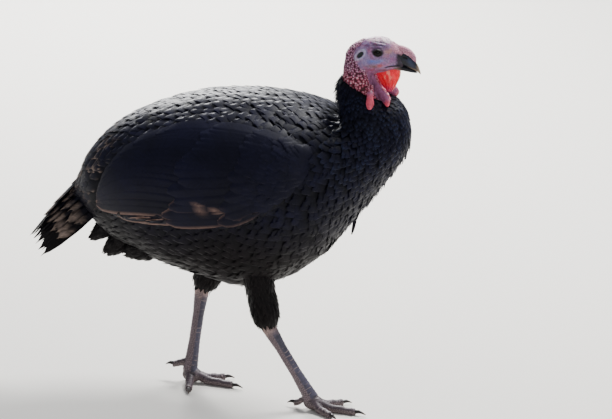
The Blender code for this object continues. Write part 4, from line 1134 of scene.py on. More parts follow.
# The eyeball, its lids and their opening
eye = {
    "at": (0.0062, 0.0136, 0.005), "radius": 0.008, "facing": (0.12, 0.1), "tilt": -7.0,
    "opening": (0.0069, 0.005), "lidShell": 0.0092, "rim": 0.0007,
    **linearHues(iris="#23140e", pupil="#040303", rimHue="#1d171b"),
}
ear = {"at": (-0.0213, 0.0014), "half": (0.0035, 0.0068), "lean": math.radians(44), "depth": 0.0022}
# Beads of the caruncles: metres between neighbours by height in the head's frame, how far they
# rise as a share of that, and how far their outlines wander
caruncles = {"heights": (-0.085, -0.055, -0.03, 0.0, 0.02),
             "spacing": (0.0046, 0.0042, 0.0034, 0.0027, 0.0022), "rise": 0.5, "wander": 0.0015}
mouthLine = [(0.0182, 0.014, -0.021), (0.0262, 0.012, -0.0192), (0.035, 0.01, -0.019),
             (0.045, 0.008, -0.0198)]


def toHead(points):
    # from the scene's places to the head's own frame
    c, s = math.cos(head["turn"]), math.sin(head["turn"])
    p = points - walkToBox - np.array(head["at"])
    return np.stack([c * p[..., 0] + s * p[..., 1], c * p[..., 1] - s * p[..., 0], p[..., 2]], -1)


def fromHead(points):
    # from the head's own frame back to the scene
    p = np.asarray(points, float)
    c, s = math.cos(head["turn"]), math.sin(head["turn"])
    turned = np.stack([c * p[..., 0] - s * p[..., 1], s * p[..., 0] + c * p[..., 1], p[..., 2]], -1)
    return turned + np.array(head["at"]) + walkToBox


def sections(table, rings, corners, boxiness=2.0, lowShare=1.0):
    # Rounded-box rings square to X from rows of x, upper z, lower z, half width; lowShare narrows
    # the lower half
    at = np.linspace(0, len(table) - 1, rings)
    x, top, low, half = np.moveaxis(rowsAt(table, at)[:, None], -1, 0)
    a = turns(corners)[None]
    c, s = bent(np.cos(a), 2 / boxiness), bent(np.sin(a), 2 / boxiness)
    s = s * (1 - (1 - lowShare) * np.maximum(-c, 0))
    return np.stack([x + 0 * c, half * s, (top + low) / 2 + (top - low) / 2 * c], -1)


def throatGrid(rings, corners):
    # ellipses leaning from the nape to the front; level 0 is the foot of the throat, 1 the jaw
    at = np.linspace(head["throatFoot"], 1, rings) * (len(head["throat"]) - 1)
    backX, backZ, frontX, frontZ, width = np.moveaxis(rowsAt(head["throat"], at)[:, None], -1, 0)
    turn = turns(corners)[None]
    share = (1 - np.cos(turn)) / 2
    return np.stack([backX + (frontX - backX) * share, width * np.sin(turn),
                     backZ + (frontZ - backZ) * share], -1) + walkToBox


def outsideOf(polygon, x, z):
    # distance from a polygon's outline, negative inside it
    corners = np.array(polygon)
    ends = np.roll(corners, -1, 0)
    p = np.stack([x, z], -1)[:, None]
    edge = ends - corners
    t = np.clip(((p - corners) * edge).sum(-1) / (edge**2).sum(-1), 0, 1)
    far = np.linalg.norm(p - corners - t[..., None] * edge, axis=-1).min(1)
    crosses = (corners[:, 1] > p[..., 1]) != (ends[:, 1] > p[..., 1])
    fall = np.where(edge[:, 1] == 0, 1e-9, edge[:, 1])
    at = corners[:, 0] + (p[..., 1] - corners[:, 1]) / fall * edge[:, 0]
    inside = (crosses & (p[..., 0] < at)).sum(1) % 2 == 1
    return np.where(inside, -far, far)


def seedsOn(points, spacing, seed, tries=9000):
    # random places of a skin, no two nearer to each other than the spacing there
    order = np.random.default_rng(seed).permutation(len(points))[:tries]
    return thinned(points, spacing, order, 0.006)


def nearestTwo(points, seeds):
    # distances to the nearest and second nearest seed, and which is the nearest
    first, second, which = (np.zeros(len(points)) for _ in range(3))
    for start in range(0, len(points), 4000):
        block = points[start:start + 4000]
        far = ((block**2).sum(1)[:, None] + (seeds**2).sum(1)[None] - 2 * block @ seeds.T)
        pair = np.argpartition(far, 1, axis=1)[:, :2]
        both = np.sqrt(np.maximum(np.take_along_axis(far, pair, 1), 0))
        swap = both[:, 0] > both[:, 1]
        first[start:start + 4000] = both.min(1)
        second[start:start + 4000] = both.max(1)
        which[start:start + 4000] = np.where(swap, pair[:, 1], pair[:, 0])
    return first, second, which.astype(int)


def pathDistance(points, path, radii):
    # share of the radius of a tube along a path, and the share of the path's length
    t = np.linspace(0, 1, 50)
    middle = rowsAt(path, t * (len(path) - 1))
    radius = rowsAt(np.array(radii)[:, None], t * (len(radii) - 1))[:, 0]
    far = np.linalg.norm(points[:, None] - middle[None], axis=-1) / np.maximum(radius, 0.002)
    return far.min(1), t[far.argmin(1)]


def eyeAxes(side):
    # the middle of the eyeball and its axes: outwards, forwards and upwards of its opening
    middle = np.array(eye["at"]) * (1, side, 1)
    out = unit(np.array([eye["facing"][0], side, eye["facing"][1]]))
    ahead = unit(np.array([1.0, 0, 0]) - out * out[0])
    above = np.cross(out, ahead) * -side
    tilt = math.radians(eye["tilt"])
    c, s = math.cos(tilt), math.sin(tilt)
    return middle, out, ahead * c + above * s, above * c - ahead * s


def shapeLids(h):
    # Lids: the skin round the eye lies on a shell over the ball, falls inside the ball within the
    # opening, and is creased round the lids and in long cosine wrinkles over and under them. e is the
    # distance from the opening's middle as a share of the opening; along, a and b are the distances
    # outwards, ahead and above.
    dark = np.zeros(len(h))
    for side in (-1, 1):
        middle, out, ahead, above = eyeAxes(side)
        d = h - middle
        along, a, b = d @ out, d @ ahead, d @ above
        e = (np.abs(a / eye["opening"][0]) ** 1.8 + np.abs(b / eye["opening"][1]) ** 1.8) ** (1 / 1.8)
        near = (along > 0) & (e < 4.5)
        square = a**2 + b**2
        inner = np.sqrt(np.maximum(eye["radius"] ** 2 - square, 0)) - 0.0013
        shell = np.sqrt(np.maximum(eye["lidShell"] ** 2 - square, 0))
        hold = 1 - smoothStep(1.12, 1.42, e)
        new = along * (1 - hold) + np.where(e < 1.4, shell, 0) * hold
        new = np.where(e < 1.08, inner + (shell - inner) * smoothStep(0.9, 1.06, e), new)
        cover = np.where(square < eye["radius"] ** 2, inner + 0.0021, -1) * (e > 1.2)
        crease = np.exp(-((e - 1.45) / 0.12) ** 2) * 0.00045
        rise = b - 0.3 * np.abs(a)
        folds = 0.0008 * np.cos(2 * np.pi * (b - 0.0145 + 0.08 * a) / 0.0043)
        folds *= smoothStep(0.006, 0.009, rise) * (1 - smoothStep(0.016, 0.019, b))
        folds *= 1 - smoothStep(0.009, 0.015, np.abs(a))
        below = 0.0003 * np.cos(2 * np.pi * (b + 0.0085) / 0.003)
        below *= smoothStep(0.006, 0.0075, -b) * (1 - smoothStep(0.01, 0.012, -b))
        below *= 1 - smoothStep(0.008, 0.012, np.abs(a))
        new = np.maximum(new - crease + folds * (e > 1.3) + below * (e > 1.3), cover)
        h = np.where(near[:, None], h + out * (new - along)[:, None], h)
        # dark: the lids' own dark skin, reaching further above the eye as painted shadow under the upper
        # lid
        dark = np.maximum(dark, near * (1 - smoothStep(1.12, 1.55 + 0.25 * (b > 0), e)))
    return h, dark


def eyelidRims():
    # a dark roll along each opening, thicker above: a closed ring of round sections on the ball
    steps, corners, power = 96, 12, 2 / 1.8
    t = turns(steps)
    turn = turns(corners)
    i, k = np.meshgrid(np.arange(steps) * corners, np.arange(corners), indexing="ij")
    onward, beside = (i + corners) % (steps * corners), (k + 1) % corners
    faces = np.stack([i + k, onward + k, onward + beside, i + beside], -1).reshape(-1, 4)
    radius = eye["rim"] * (1 + 0.45 * np.clip(np.sin(t), 0, 1))
    parts = []
    for side in (-1, 1):
        middle, out, ahead, above = eyeAxes(side)
        a = eye["opening"][0] * 1.02 * bent(np.cos(t), power)
        b = eye["opening"][1] * 1.02 * bent(np.sin(t), power)
        lift = np.sqrt(np.maximum((eye["radius"] + 0.00045) ** 2 - a**2 - b**2, 0))
        ring = middle + a[:, None] * ahead + b[:, None] * above + lift[:, None] * out
        line = unit(np.roll(ring, -1, 0) - np.roll(ring, 1, 0))
        up = unit(ring - middle)
        across = np.cross(line, up)
        grid = ring[:, None] + radius[:, None, None] * (across[:, None] * np.cos(turn)[None, :, None]
                                                        + up[:, None] * np.sin(turn)[None, :, None])
        points = grid.reshape(-1, 3)
        p, q, r = (points[faces[:, n]] for n in (0, 1, 2))
        facing = ((p + r) / 2 - np.repeat(ring, corners, 0)[faces[:, 0]]) * np.cross(q - p, r - p)
        parts.append((points, faces if facing.sum() > 0 else faces[:, ::-1], np.zeros((0, 3), int)))
    points, quads, tris = joinArrays(parts)
    colours = eye["rimHue"] * (1 + 0.25 * valueNoise(points, 0.001, 31))[:, None]
    meshObject("eyelidRims", fromHead(points), quads, tris, bareSkin, colours)


bill = {
    # both halves in the head's frame: x, upper z, lower z, half width
    "upper": [(0.034, 0.007, -0.019, 0.0085), (0.045, 0.0052, -0.02, 0.008),
              (0.055, -0.0004, -0.023, 0.0066), (0.064, -0.0102, -0.027, 0.0046),
              (0.07, -0.019, -0.0305, 0.003), (0.0742, -0.03, -0.0342, 0.0012)],
    "lower": [(0.03, -0.0188, -0.0265, 0.0078), (0.045, -0.0196, -0.0288, 0.0068),
              (0.058, -0.0238, -0.031, 0.0046), (0.065, -0.0275, -0.0318, 0.0028),
              (0.069, -0.0302, -0.0318, 0.0008)],
    "nostril": (0.05, -0.005), "nostrilHalf": (0.004, 0.0014), "nostrilTilt": math.radians(-28),
    # blue: a painted highlight in the bill's middle; hole: painted shade in the sunk nostril
    **linearHues(slate="#15151c", blue="#37415f", tip="#b09a84", edge="#8d7a6c", hole="#0c0a0c",
                 gape="#3a3138"),
}
# Patches painted on the face: x, z, half sizes in x and z, colour, strength
facePatches = [
    (-0.0135, 0.0, 0.005, 0.011, "#8f86b4", 0.7),
    (-0.0055, 0.0071, 0.0035, 0.0055, "#b06088", 0.75),
    (0.0233, 0.0081, 0.0085, 0.0055, "#c08d86", 0.8), (0.0309, -0.0076, 0.0095, 0.006, "#93608f", 0.75),
    (0.0004, -0.0092, 0.01, 0.0034, "#5b70bb", 0.95), (0.011, -0.0085, 0.007, 0.003, "#717cb8", 0.8),
    (-0.001, -0.0172, 0.009, 0.0032, "#73503f", 0.85),
    (0.0105, -0.0168, 0.0045, 0.0034, "#b04644", 0.85),
    (-0.004, -0.0258, 0.015, 0.005, "#9c4259", 0.9), (0.02, -0.0262, 0.014, 0.003, "#7c4548", 0.7),
    # three thin dark lines over the eye: painted shade along the brow's wrinkles
    (0.0064, 0.0215, 0.0105, 0.0011, "#6a6175", 0.85), (0.0064, 0.0172, 0.011, 0.0013, "#3f3a4c", 0.95),
    (0.0064, 0.013, 0.01, 0.001, "#4b3f54", 0.8), (0.043, -0.001, 0.005, 0.006, "#332b36", 0.9),
    (0.037, -0.016, 0.008, 0.0035, "#75566d", 0.6),
]
headHues = linearHues(
    # crown: pale skin on top of the head, made paler as a painted highlight
    face="#94789c", crown="#dcc6cc", dots="#7a4672",
    flush="#a9607f", vein="#6d5a92",
    # the beads' colours on top, and painted shade for the crevices between them
    napePeak="#a9668a", napeDip="#420c24",
    throatPeak="#c2566f", throatDip="#4f0d1e",
    # pale: a painted highlight on the beads' tops
    pale="#ecd6de", lobe="#d4556a", strip="#965a7e",
    snood="#cf97a6", snoodBump="#8e4672",
    # lid: the lids' dark skin, also painted as shade above the eye and in the mouth's groove
    ear="#2a302f", earRim="#b9b2cc", lid="#2a2129",
)


def fleshShares(flesh):
    # how much of each point is teardrop lobe, and strip, and its share of the strip's length
    folded = flesh * (1, 0, 1) + np.abs(flesh) * (0, 1, 0)
    (path, radii, _), (stripPath, stripRadii, _) = throatLobes
    far, at = pathDistance(folded, path, radii)
    lobe = (1 - smoothStep(1.15, 1.45, far)) * smoothStep(0.3, 0.45, at)
    far, at = pathDistance(folded, stripPath, stripRadii)
    return lobe, 1 - smoothStep(1.15, 1.45, far), at


def caruncleBeads(points, z):
    # Domes round scattered seeds: the root of 1 less the square of the distance from the nearest seed,
    # cut down to nothing where the second seed is as near; warped places make the outlines wander
    spacing = np.interp(z, caruncles["heights"], caruncles["spacing"])
    spacing = spacing * (1 + 0.32 * valueNoise(points, 0.009, 39))
    seeds = seedsOn(points, spacing, 21)
    wander = np.stack([valueNoise(points, 0.0035, 35 + n) for n in range(3)], -1) * caruncles["wander"]
    first, second, which = nearestTwo(points + wander, points[seeds])
    tint = np.random.default_rng(22).uniform(-1, 1, len(seeds))[which]
    dome = np.sqrt(np.clip(1 - (first / (spacing * (0.8 + 0.12 * tint))) ** 2, 0, 1))
    cell = dome * smoothStep(-0.15, 0.36, (second - first) / spacing)
    return cell, tint, caruncles["rise"] * spacing * (cell - 0.55) * (1 + 0.25 * tint)


def pebbles(points, spacing, seed, tries, groove):
    # flat-topped cells round scattered seeds, rounded off over that width along their seams
    seeds = seedsOn(points, np.full(len(points), spacing), seed, tries)
    first, second, which = nearestTwo(points, points[seeds])
    return 1 - (1 - np.clip((second - first) / groove, 0, 1)) ** 2, which


def makeHead():
    # one skin: the skull, throat, snood, lobes and strips, then its relief and its colours
    parts = [tubeArrays(fromHead(sections(head["skull"], 40, 48, 2.1))),
             tubeArrays(fromHead(sections(head["snood"], 26, 28))), tubeArrays(throatGrid(40, 64))]
    for side in (-1, 1):
        for path, radii, width in throatLobes:
            path = np.array(path) * (1, side, 1) + walkToBox
            parts.append(tubeArrays(tubeAlong(path, radii, 24, width, 34)))
    skin = remeshed("headSkin", parts, head["voxel"], head["smoothing"], bareSkin)
    points, normals = meshPlaces(skin.data)
    h = toHead(points)
    x, z = h[:, 0], h[:, 2]
    flesh = points - walkToBox
    lobe, strip, stripAt = fleshShares(flesh)
    onSnood = smoothStep(0.026, 0.034, x) * smoothStep(-0.004, 0.001, z + 0.55 * (x - 0.045))
    rough = smoothStep(0.0, 0.0045, outsideOf(head["face"], x, z)) * (1 - onSnood)
    rough = rough * (1 - lobe) * (1 - strip)
    cell, tint, rise = caruncleBeads(points, z)
    bump, whichBump = pebbles(points, 0.0022, 23, 14000, 0.0013)
    relief = rough * rise + onSnood * 0.0007 * (bump - 0.4)
    relief += (1 - rough) * (1 - onSnood) * 0.00016 * (bump - 0.5)
    relief += lobe * 0.0003 * valueNoise(points, 0.002, 24)
    streaks = valueNoise(flesh * (1, 1, 0.3), 0.002, 25)
    relief += strip * 0.0005 * streaks
    relief += (1 - rough) * 0.0005 * valueNoise(h, 0.007, 26) * (x < 0.035)
    creases = 1 - np.abs(valueNoise(h * (1, 1, 1.7), 0.0034, 27))
    relief -= (1 - rough) * (1 - onSnood) * 0.0004 * smoothStep(0.8, 1.0, creases)
    c, s = math.cos(ear["lean"]), math.sin(ear["lean"])
    earX, earZ = x - ear["at"][0], z - ear["at"][1]
    turned = np.stack([earX * c - earZ * s, earX * s + earZ * c], -1)
    e = np.linalg.norm(turned / np.array(ear["half"]), axis=1)
    relief += 0.0006 * np.exp(-((e - 1.35) / 0.22) ** 2) - ear["depth"] * (1 - smoothStep(0.75, 1.15, e))
    far = np.linalg.norm((h * (1, 0, 1) + np.abs(h) * (0, 1, 0))[:, None]
                         - rowsAt(mouthLine, np.linspace(0, 3, 40))[None], axis=-1).min(1)
    lip = np.exp(-(far / 0.0011) ** 2)
    relief -= 0.0009 * lip
    h, dark = shapeLids(toHead(points + normals * relief[:, None]))
    points = fromHead(h)
    x, z = h[:, 0], h[:, 2]
    # the smooth face: blotches, crown with painted highlight, patches and freckles, painted shade in
    # seams
    hues = headHues
    flush, vein = (valueNoise(points, size, seed) for size, seed in ((0.005, 37), (0.0028, 38)))
    colour = blendColours(flat(hues["face"], points), smoothStep(-0.1, 0.6, flush) * 0.55, hues["flush"])
    colour = blendColours(colour, smoothStep(0.0, 0.6, vein) * 0.45, hues["vein"])
    # the pale crown: the skin's own paleness with a painted highlight on the top of the head
    colour = blendColours(colour, smoothStep(0.019, 0.0255, z + 0.12 * x) * 0.9, hues["crown"])
    for px, pz, rx, rz, hue, strength in facePatches:
        away = ((x - px) / rx) ** 2 + ((z - pz) / rz) ** 2
        away = away + 0.7 * valueNoise(points, 0.0042, 32) + 0.5 * valueNoise(points, 0.0017, 40)
        colour = blendColours(colour, np.exp(-np.maximum(away, 0)) * strength, linearColour(hue))
    freckles = smoothStep(0.55, 0.95, bump) * (np.sin(whichBump * 12.9898) > 0.35)
    colour = blendColours(colour, freckles * 0.8 * smoothStep(0.006, 0.016, z), hues["dots"])
    # painted shade along the sunk seams between the pebbles
    colour *= (0.86 + 0.22 * bump)[:, None]
    # the beads: painted shade in the crevices between them, a painted highlight on their tops, redder on
    # the throat
    low = smoothStep(-0.02, -0.045, z)
    peak = blendColours(hues["napePeak"], low, hues["throatPeak"])
    dip = blendColours(hues["napeDip"], low, hues["throatDip"])
    bead = blendColours(dip, smoothStep(0.25, 0.8, cell), peak)
    bead = blendColours(bead, smoothStep(0.8, 1.0, cell) * (0.45 + 0.35 * tint), hues["pale"])
    colour = blendColours(colour, rough, bead)
    # snood, lobes and strips
    colour = blendColours(colour, onSnood,
                          blendColours(flat(hues["snood"], points), 1 - bump, hues["snoodBump"]))
    lobeHue = blendColours(flat(hues["lobe"], points), smoothStep(0.53, 0.545, flesh[:, 2]),
                           hues["napePeak"])
    colour = blendColours(colour, lobe, lobeHue)
    stripHue = blendColours(flat(hues["strip"], points), smoothStep(0.62, 0.8, stripAt), hues["lobe"])
    colour = blendColours(colour, strip, stripHue * (1 + 0.25 * streaks)[:, None])
    # the bill's base, the ear, painted shade in the mouth's groove, the lids with painted shadow above
    base = smoothStep(0.0335, 0.0395, x + 0.0012 * valueNoise(points, 0.0016, 41))
    base *= (1 - onSnood) * smoothStep(-0.0225, -0.0195, z)
    colour = blendColours(colour, base * 0.9, bill["slate"])
    colour = blendColours(colour, np.exp(-((e - 1.4) / 0.4) ** 2) * 0.75, hues["earRim"])
    colour = blendColours(colour, 1 - smoothStep(0.85, 1.15, e), hues["ear"])
    # painted shade in the mouth's groove
    colour = blendColours(colour, lip * 0.7, hues["lid"])
    colour = blendColours(colour, dark * 0.92, hues["lid"])
    movePoints(skin.data, points)
    paintMesh(skin.data, colour * (1 + 0.06 * valueNoise(points, 0.0025, 33))[:, None])
    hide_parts("head", "throat", "snood")
    print("headSkin faces", len(skin.data.polygons))


makeHead()
eyelidRims()


def billColour(h, lower):
    # slate with a painted blue highlight in its middle, paling along its cutting edge and to its tip
    # in streaks of growth
    x, z = h[:, 0], h[:, 2]
    streak = valueNoise(h * (0.35, 2.2, 2.2), 0.0035, 41)
    # the painted blue highlight in the middle of the bill
    mid = np.exp(-((x - 0.059) / 0.007) ** 2 - ((z + 0.7 * (x - 0.06) + 0.014) / 0.006) ** 2)
    colour = blendColours(flat(bill["slate"], h), mid * 0.75 + 0.12 * streak, bill["blue"])
    if lower:
        pale = 1 - smoothStep(0.038, 0.046, x + 0.002 * streak)
        colour = blendColours(colour, pale * 0.6, bill["edge"])
    else:
        rows = np.array(bill["upper"]).T
        edgeZ = np.interp(x, rows[0], rows[2])
        near = 1 - smoothStep(0.0, 0.004, z - edgeZ - 0.0008 + 0.001 * streak)
        colour = blendColours(colour, near * smoothStep(0.05, 0.06, x) * 0.85, bill["edge"])
    tip = smoothStep(0.065, 0.0735, x + 0.0016 * streak)
    return blendColours(colour, tip * 0.85, bill["tip"])


def makeBill():
    # Upper half: rounded sections with a keeled ridge, a groove over the cutting edge and sunk
    # nostrils with a raised upper lip, by the distance e as a share of the hole. Lower half: rounded
    # sections, narrower below. Edges of the gape: thin tubes along the mouth's corners.
    grid = sections(bill["upper"], 96, 64)
    a = turns(64)[None]
    fromRidge = np.minimum(a, 2 * np.pi - a)
    x, y, z = np.moveaxis(grid, -1, 0)
    ridge = np.exp(-(fromRidge / 0.35) ** 2) * np.interp(x, [0.034, 0.05, 0.0742], [0, 0.0005, 0.0002])
    groove = np.exp(-((fromRidge - 2.15) / 0.1) ** 2) * 0.00035 * smoothStep(0.04, 0.048, x)
    narrower = 1 - groove / np.maximum(np.abs(y), 0.002)
    grid = grid * np.stack([np.ones_like(y), narrower, np.ones_like(y)], -1)
    grid[..., 2] += ridge
    c, s = math.cos(bill["nostrilTilt"]), math.sin(bill["nostrilTilt"])

    def nostril(x, z):
        x, z = x - bill["nostril"][0], z - bill["nostril"][1]
        along, over = x * c + z * s, z * c - x * s
        return np.hypot(along / bill["nostrilHalf"][0], over / bill["nostrilHalf"][1]), over
    e, over = nostril(x, z)
    sink = 0.0022 * (1 - smoothStep(0.75, 1.2, e))
    sink -= 0.0005 * np.exp(-((e - 1.6) / 0.35) ** 2) * (over > 0)
    grid[..., 1] -= np.sign(y) * np.minimum(sink, np.abs(y) * 0.6)
    points, quads, tris = tubeArrays(grid)
    hole, _ = nostril(points[:, 0], points[:, 2])
    # the sunk nostril painted near-black: painted shade in its opening
    colour = blendColours(billColour(points, False), 1 - smoothStep(0.8, 1.15, hole), bill["hole"])
    upper = meshObject("billUpper", fromHead(points), quads, tris, horn, colour)
    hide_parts("bill_upper")
    points, quads, tris = tubeArrays(sections(bill["lower"], 60, 40, lowShare=0.6))
    colour = billColour(points, True)
    lower = meshObject("billLower", fromHead(points), quads, tris, horn, colour)
    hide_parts("bill_lower")
    parts = []
    for side in (-1, 1):
        line = np.array(mouthLine) * (1, side, 1) + (0, side * 0.0004, 0.0006)
        parts.append(tubeArrays(tubeAlong(line, [0.0004, 0.0009, 0.0011, 0.0009], 12, 0.8, 40)))
    points, quads, tris = joinArrays(parts)
    colour = flat(bill["gape"], points)
    meshObject("gapeEdges", fromHead(points), quads, tris, horn, colour)


def makeEyes():
    # a ball whose pole looks out of the lids: black pupil, dark brown iris with fine spokes
    v = np.linspace(0, np.pi, 66)[1:-1, None]
    u = turns(64)[None]
    for label, side in (("Right", -1), ("Left", 1)):
        middle, out, ahead, above = eyeAxes(side)
        ball = eye["radius"] * (np.cos(v)[..., None] * out + (np.sin(v) * np.cos(u))[..., None] * ahead
                                + (np.sin(v) * np.sin(u))[..., None] * above)
        points, quads, tris = tubeArrays(middle + ball)
        points[-2:] = middle + np.array([[1], [-1]]) * eye["radius"] * out
        d = unit(points - middle)
        wide = np.degrees(np.arccos(np.clip(d @ out, -1, 1)))
        spin = np.arctan2(d @ above, d @ ahead)
        spokes = 0.75 + 0.35 * np.sin(spin * 23 + 2 * np.sin(spin * 7))
        colour = eye["iris"] * spokes[:, None] * np.ones((1, 3))
        colour = blendColours(colour, 1 - smoothStep(28, 31, wide), eye["pupil"])
        colour = blendColours(colour, smoothStep(40, 46, wide), eye["pupil"])
        piece = meshObject("eyeball" + label, fromHead(points), quads, tris, wetEye, colour)
        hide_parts("eye_" + label[0])


dewlap = {
    # in the head's frame: z, rear x, front x, half thickness
    "rows": [(-0.0225, 0.002, 0.041, 0.0036), (-0.03, 0.002, 0.0425, 0.0036),
             (-0.04, 0.0035, 0.0412, 0.0034), (-0.05, 0.0085, 0.0368, 0.003),
             (-0.058, 0.016, 0.033, 0.0026), (-0.064, 0.0225, 0.0275, 0.0018)],
    "rings": 110, "corners": 160, "folds": 5, "wave": 0.16, "pebble": 0.0024,
    # light: painted highlights mottled over the lumps
    **linearHues(red="#f8283c", light="#ff9a86", magenta="#c02c6c", rim="#e8a07a"),
}


def makeDewlap():
    # lens sections stacked downwards; the thickness waves in upright folds that widen downwards, and
    # the sides are lumpy and pebbled
    down = np.linspace(0, 1, dewlap["rings"])[:, None]
    z, rear, front, half = np.moveaxis(rowsAt(dewlap["rows"], 5 * down), -1, 0)
    close = np.sqrt(np.clip((1 - down) / 0.06, 0, 1))
    a = turns(dewlap["corners"])[None]
    c, s = np.cos(a), bent(np.sin(a), 0.8)
    sway = 0.15 * np.sin(8 * down)
    fold = 1 + dewlap["wave"] * np.cos(dewlap["folds"] * np.pi * (c + sway)) * (0.5 + 0.5 * down)
    x = (rear + front) / 2 + (front - rear) / 2 * c * (0.3 + 0.7 * close)
    bend = 0.0016 * np.sin(3 * np.pi * (x - 0.002) / 0.04) * down
    grid = np.stack([x, half * fold * s * close + bend, z + 0 * c], -1)
    points, quads, tris = tubeArrays(grid)
    pebble, _ = pebbles(points, dewlap["pebble"], 51, 12000, 0.0014)
    lump = valueNoise(points * (1.6, 1, 0.7), 0.0055, 52)
    points[:, 1] += np.sign(points[:, 1]) * (0.0006 * lump + 0.0004 * (pebble - 0.5))
    x, z = points[:, 0], points[:, 2]
    rows = np.array(dewlap["rows"]).T
    rearAt, frontAt = (np.interp(-z, -rows[0], rows[i]) for i in (1, 2))
    share = (x - rearAt) / np.maximum(frontAt - rearAt, 0.004)
    # paler blotches where the lumps bulge: painted highlights
    blotch = smoothStep(0.0, 0.7, valueNoise(points * (1.6, 1, 0.7), 0.0055, 52))
    colour = blendColours(flat(dewlap["red"], points), 0.8 * blotch, dewlap["light"])
    edge = np.maximum(smoothStep(0.16, 0.02, share), smoothStep(-0.05, -0.062, z))
    colour = blendColours(colour, edge * 0.7, dewlap["magenta"])
    colour = blendColours(colour, smoothStep(0.9, 0.99, share) * 0.6, dewlap["rim"])
    # painted shade along the sunk seams between the pebbles
    colour *= (0.78 + 0.3 * pebble)[:, None]
    flap = meshObject("dewlapFlap", fromHead(points), quads, tris, dewlapSkin, colour)
    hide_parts("dewlap")


makeBill()
makeEyes()
makeDewlap()
print("head laid")


# Shank: share of the way from hock to foot, half depth, half width
shank = {
    "rows": [(-0.1, 0.008, 0.0075), (0.02, 0.0118, 0.01), (0.1, 0.0112, 0.0092),
             (0.3, 0.009, 0.0074), (0.65, 0.009, 0.0074), (0.88, 0.0108, 0.0092),
             (1.0, 0.0118, 0.0118), (1.08, 0.009, 0.0095)],
    "plate": 0.0078, "backPlate": 0.0062, "grain": 0.0026, "bulge": 0.0005, "overlap": 0.00055,
    "voxel": 0.0008, "smoothing": 6,
}
# Toes: turn from the foot's heading towards the body's midline (the inner one's is each leg's own),
# length, claw length; then their shape, with radii at the root and tip and the power between them
toes = {"middle": (0.0, 0.078, 0.017), "inner": (None, 0.056, 0.015),
        "outer": (-34.0, 0.058, 0.015), "hind": (176.0, 0.03, 0.013)}
toe = {
    "heights": [0.015, 0.0105, 0.0046, 0.0045, 0.0042], "radii": (0.0084, 0.005, 0.7),
    "hindRadii": (0.0066, 0.0046, 1.0), "start": 0.04, "plate": 0.0046,
    "knuckles": (0.36, 0.66, 0.9), "knuckleRise": 0.0006,
    # the pad that joins the toes: its half sizes ahead, sideways and upwards, and its middle
    "pad": (0.0165, 0.0135, 0.0118), "padAhead": 0.004, "padHeight": 0.0128,
}
legHues = linearHues(
    shank="#64535c", plate="#383a4e", pale="#b3a09f",
    # the dark seam colour: painted shade between the scales
    hock="#b99a92", toe="#4a3c3e", dip="#241b20",
    claw="#211b1b", clawTip="#6d5f55",
)


def toePath(leg, name):
    # the middle line of a toe over the ground, its heading and its claw's length
    turn, length, clawLength = toes[name]
    turn = leg["inner"] if name == "inner" else turn
    heading = leg["heading"] - leg["side"] * math.radians(turn)
    ahead = np.array([math.cos(heading), math.sin(heading), 0])
    ground = np.array(leg["foot"]) * (1, 1, 0)
    share = np.linspace(0, 1, 5)
    path = ground + ahead * (length * (toe["start"] + (1 - toe["start"]) * share))[:, None]
    path[:, 2] = leg["hind"] if name == "hind" else toe["heights"]
    return path, ahead, clawLength


def toeTube(leg, name):
    # round sections along the toe, thicker at its knuckles; a front toe rests on the ground
    path, ahead, _ = toePath(leg, name)
    t = np.linspace(0, 1, 40)
    first, last, power = toe["hindRadii"] if name == "hind" else toe["radii"]
    radius = first + (last - first) * t**power
    for knuckle in toe["knuckles"]:
        radius = radius + toe["knuckleRise"] * np.exp(-((t - knuckle) / 0.07) ** 2)
    middle = rowsAt(path, t * 4)
    if name != "hind":
        middle[:, 2] = np.maximum(middle[:, 2], radius * 0.93 + 0.0001)
    turn = turns(28)
    sideways = unit(np.cross(ahead, upwards))
    wide = (radius * np.sqrt(np.clip((1 - t) / 0.05, 0.05, 1)))[:, None, None]
    ring = (middle[:, None] + sideways * wide * np.cos(turn)[None, :, None] * 0.95
            + upwards * wide * np.sin(turn)[None, :, None])
    return tubeArrays(ring + walkToBox), (middle, radius, sideways)


def footPad(leg):
    # an ellipsoid where the toes meet
    v = np.linspace(0.15, np.pi - 0.15, 14)[:, None]
    u = turns(28)[None]
    heading = np.array([math.cos(leg["heading"]), math.sin(leg["heading"]), 0])
    sideways = np.array([-heading[1], heading[0], 0])
    long, wide, high = toe["pad"]
    middle = np.array(leg["foot"]) * (1, 1, 0) + (0, 0, toe["padHeight"]) + heading * toe["padAhead"]
    return tubeArrays(middle + heading * (long * np.sin(v) * np.cos(u))[..., None]
                      + sideways * (wide * np.sin(v) * np.sin(u))[..., None]
                      + upwards * (high * np.cos(v) * np.ones_like(u))[..., None] + walkToBox)


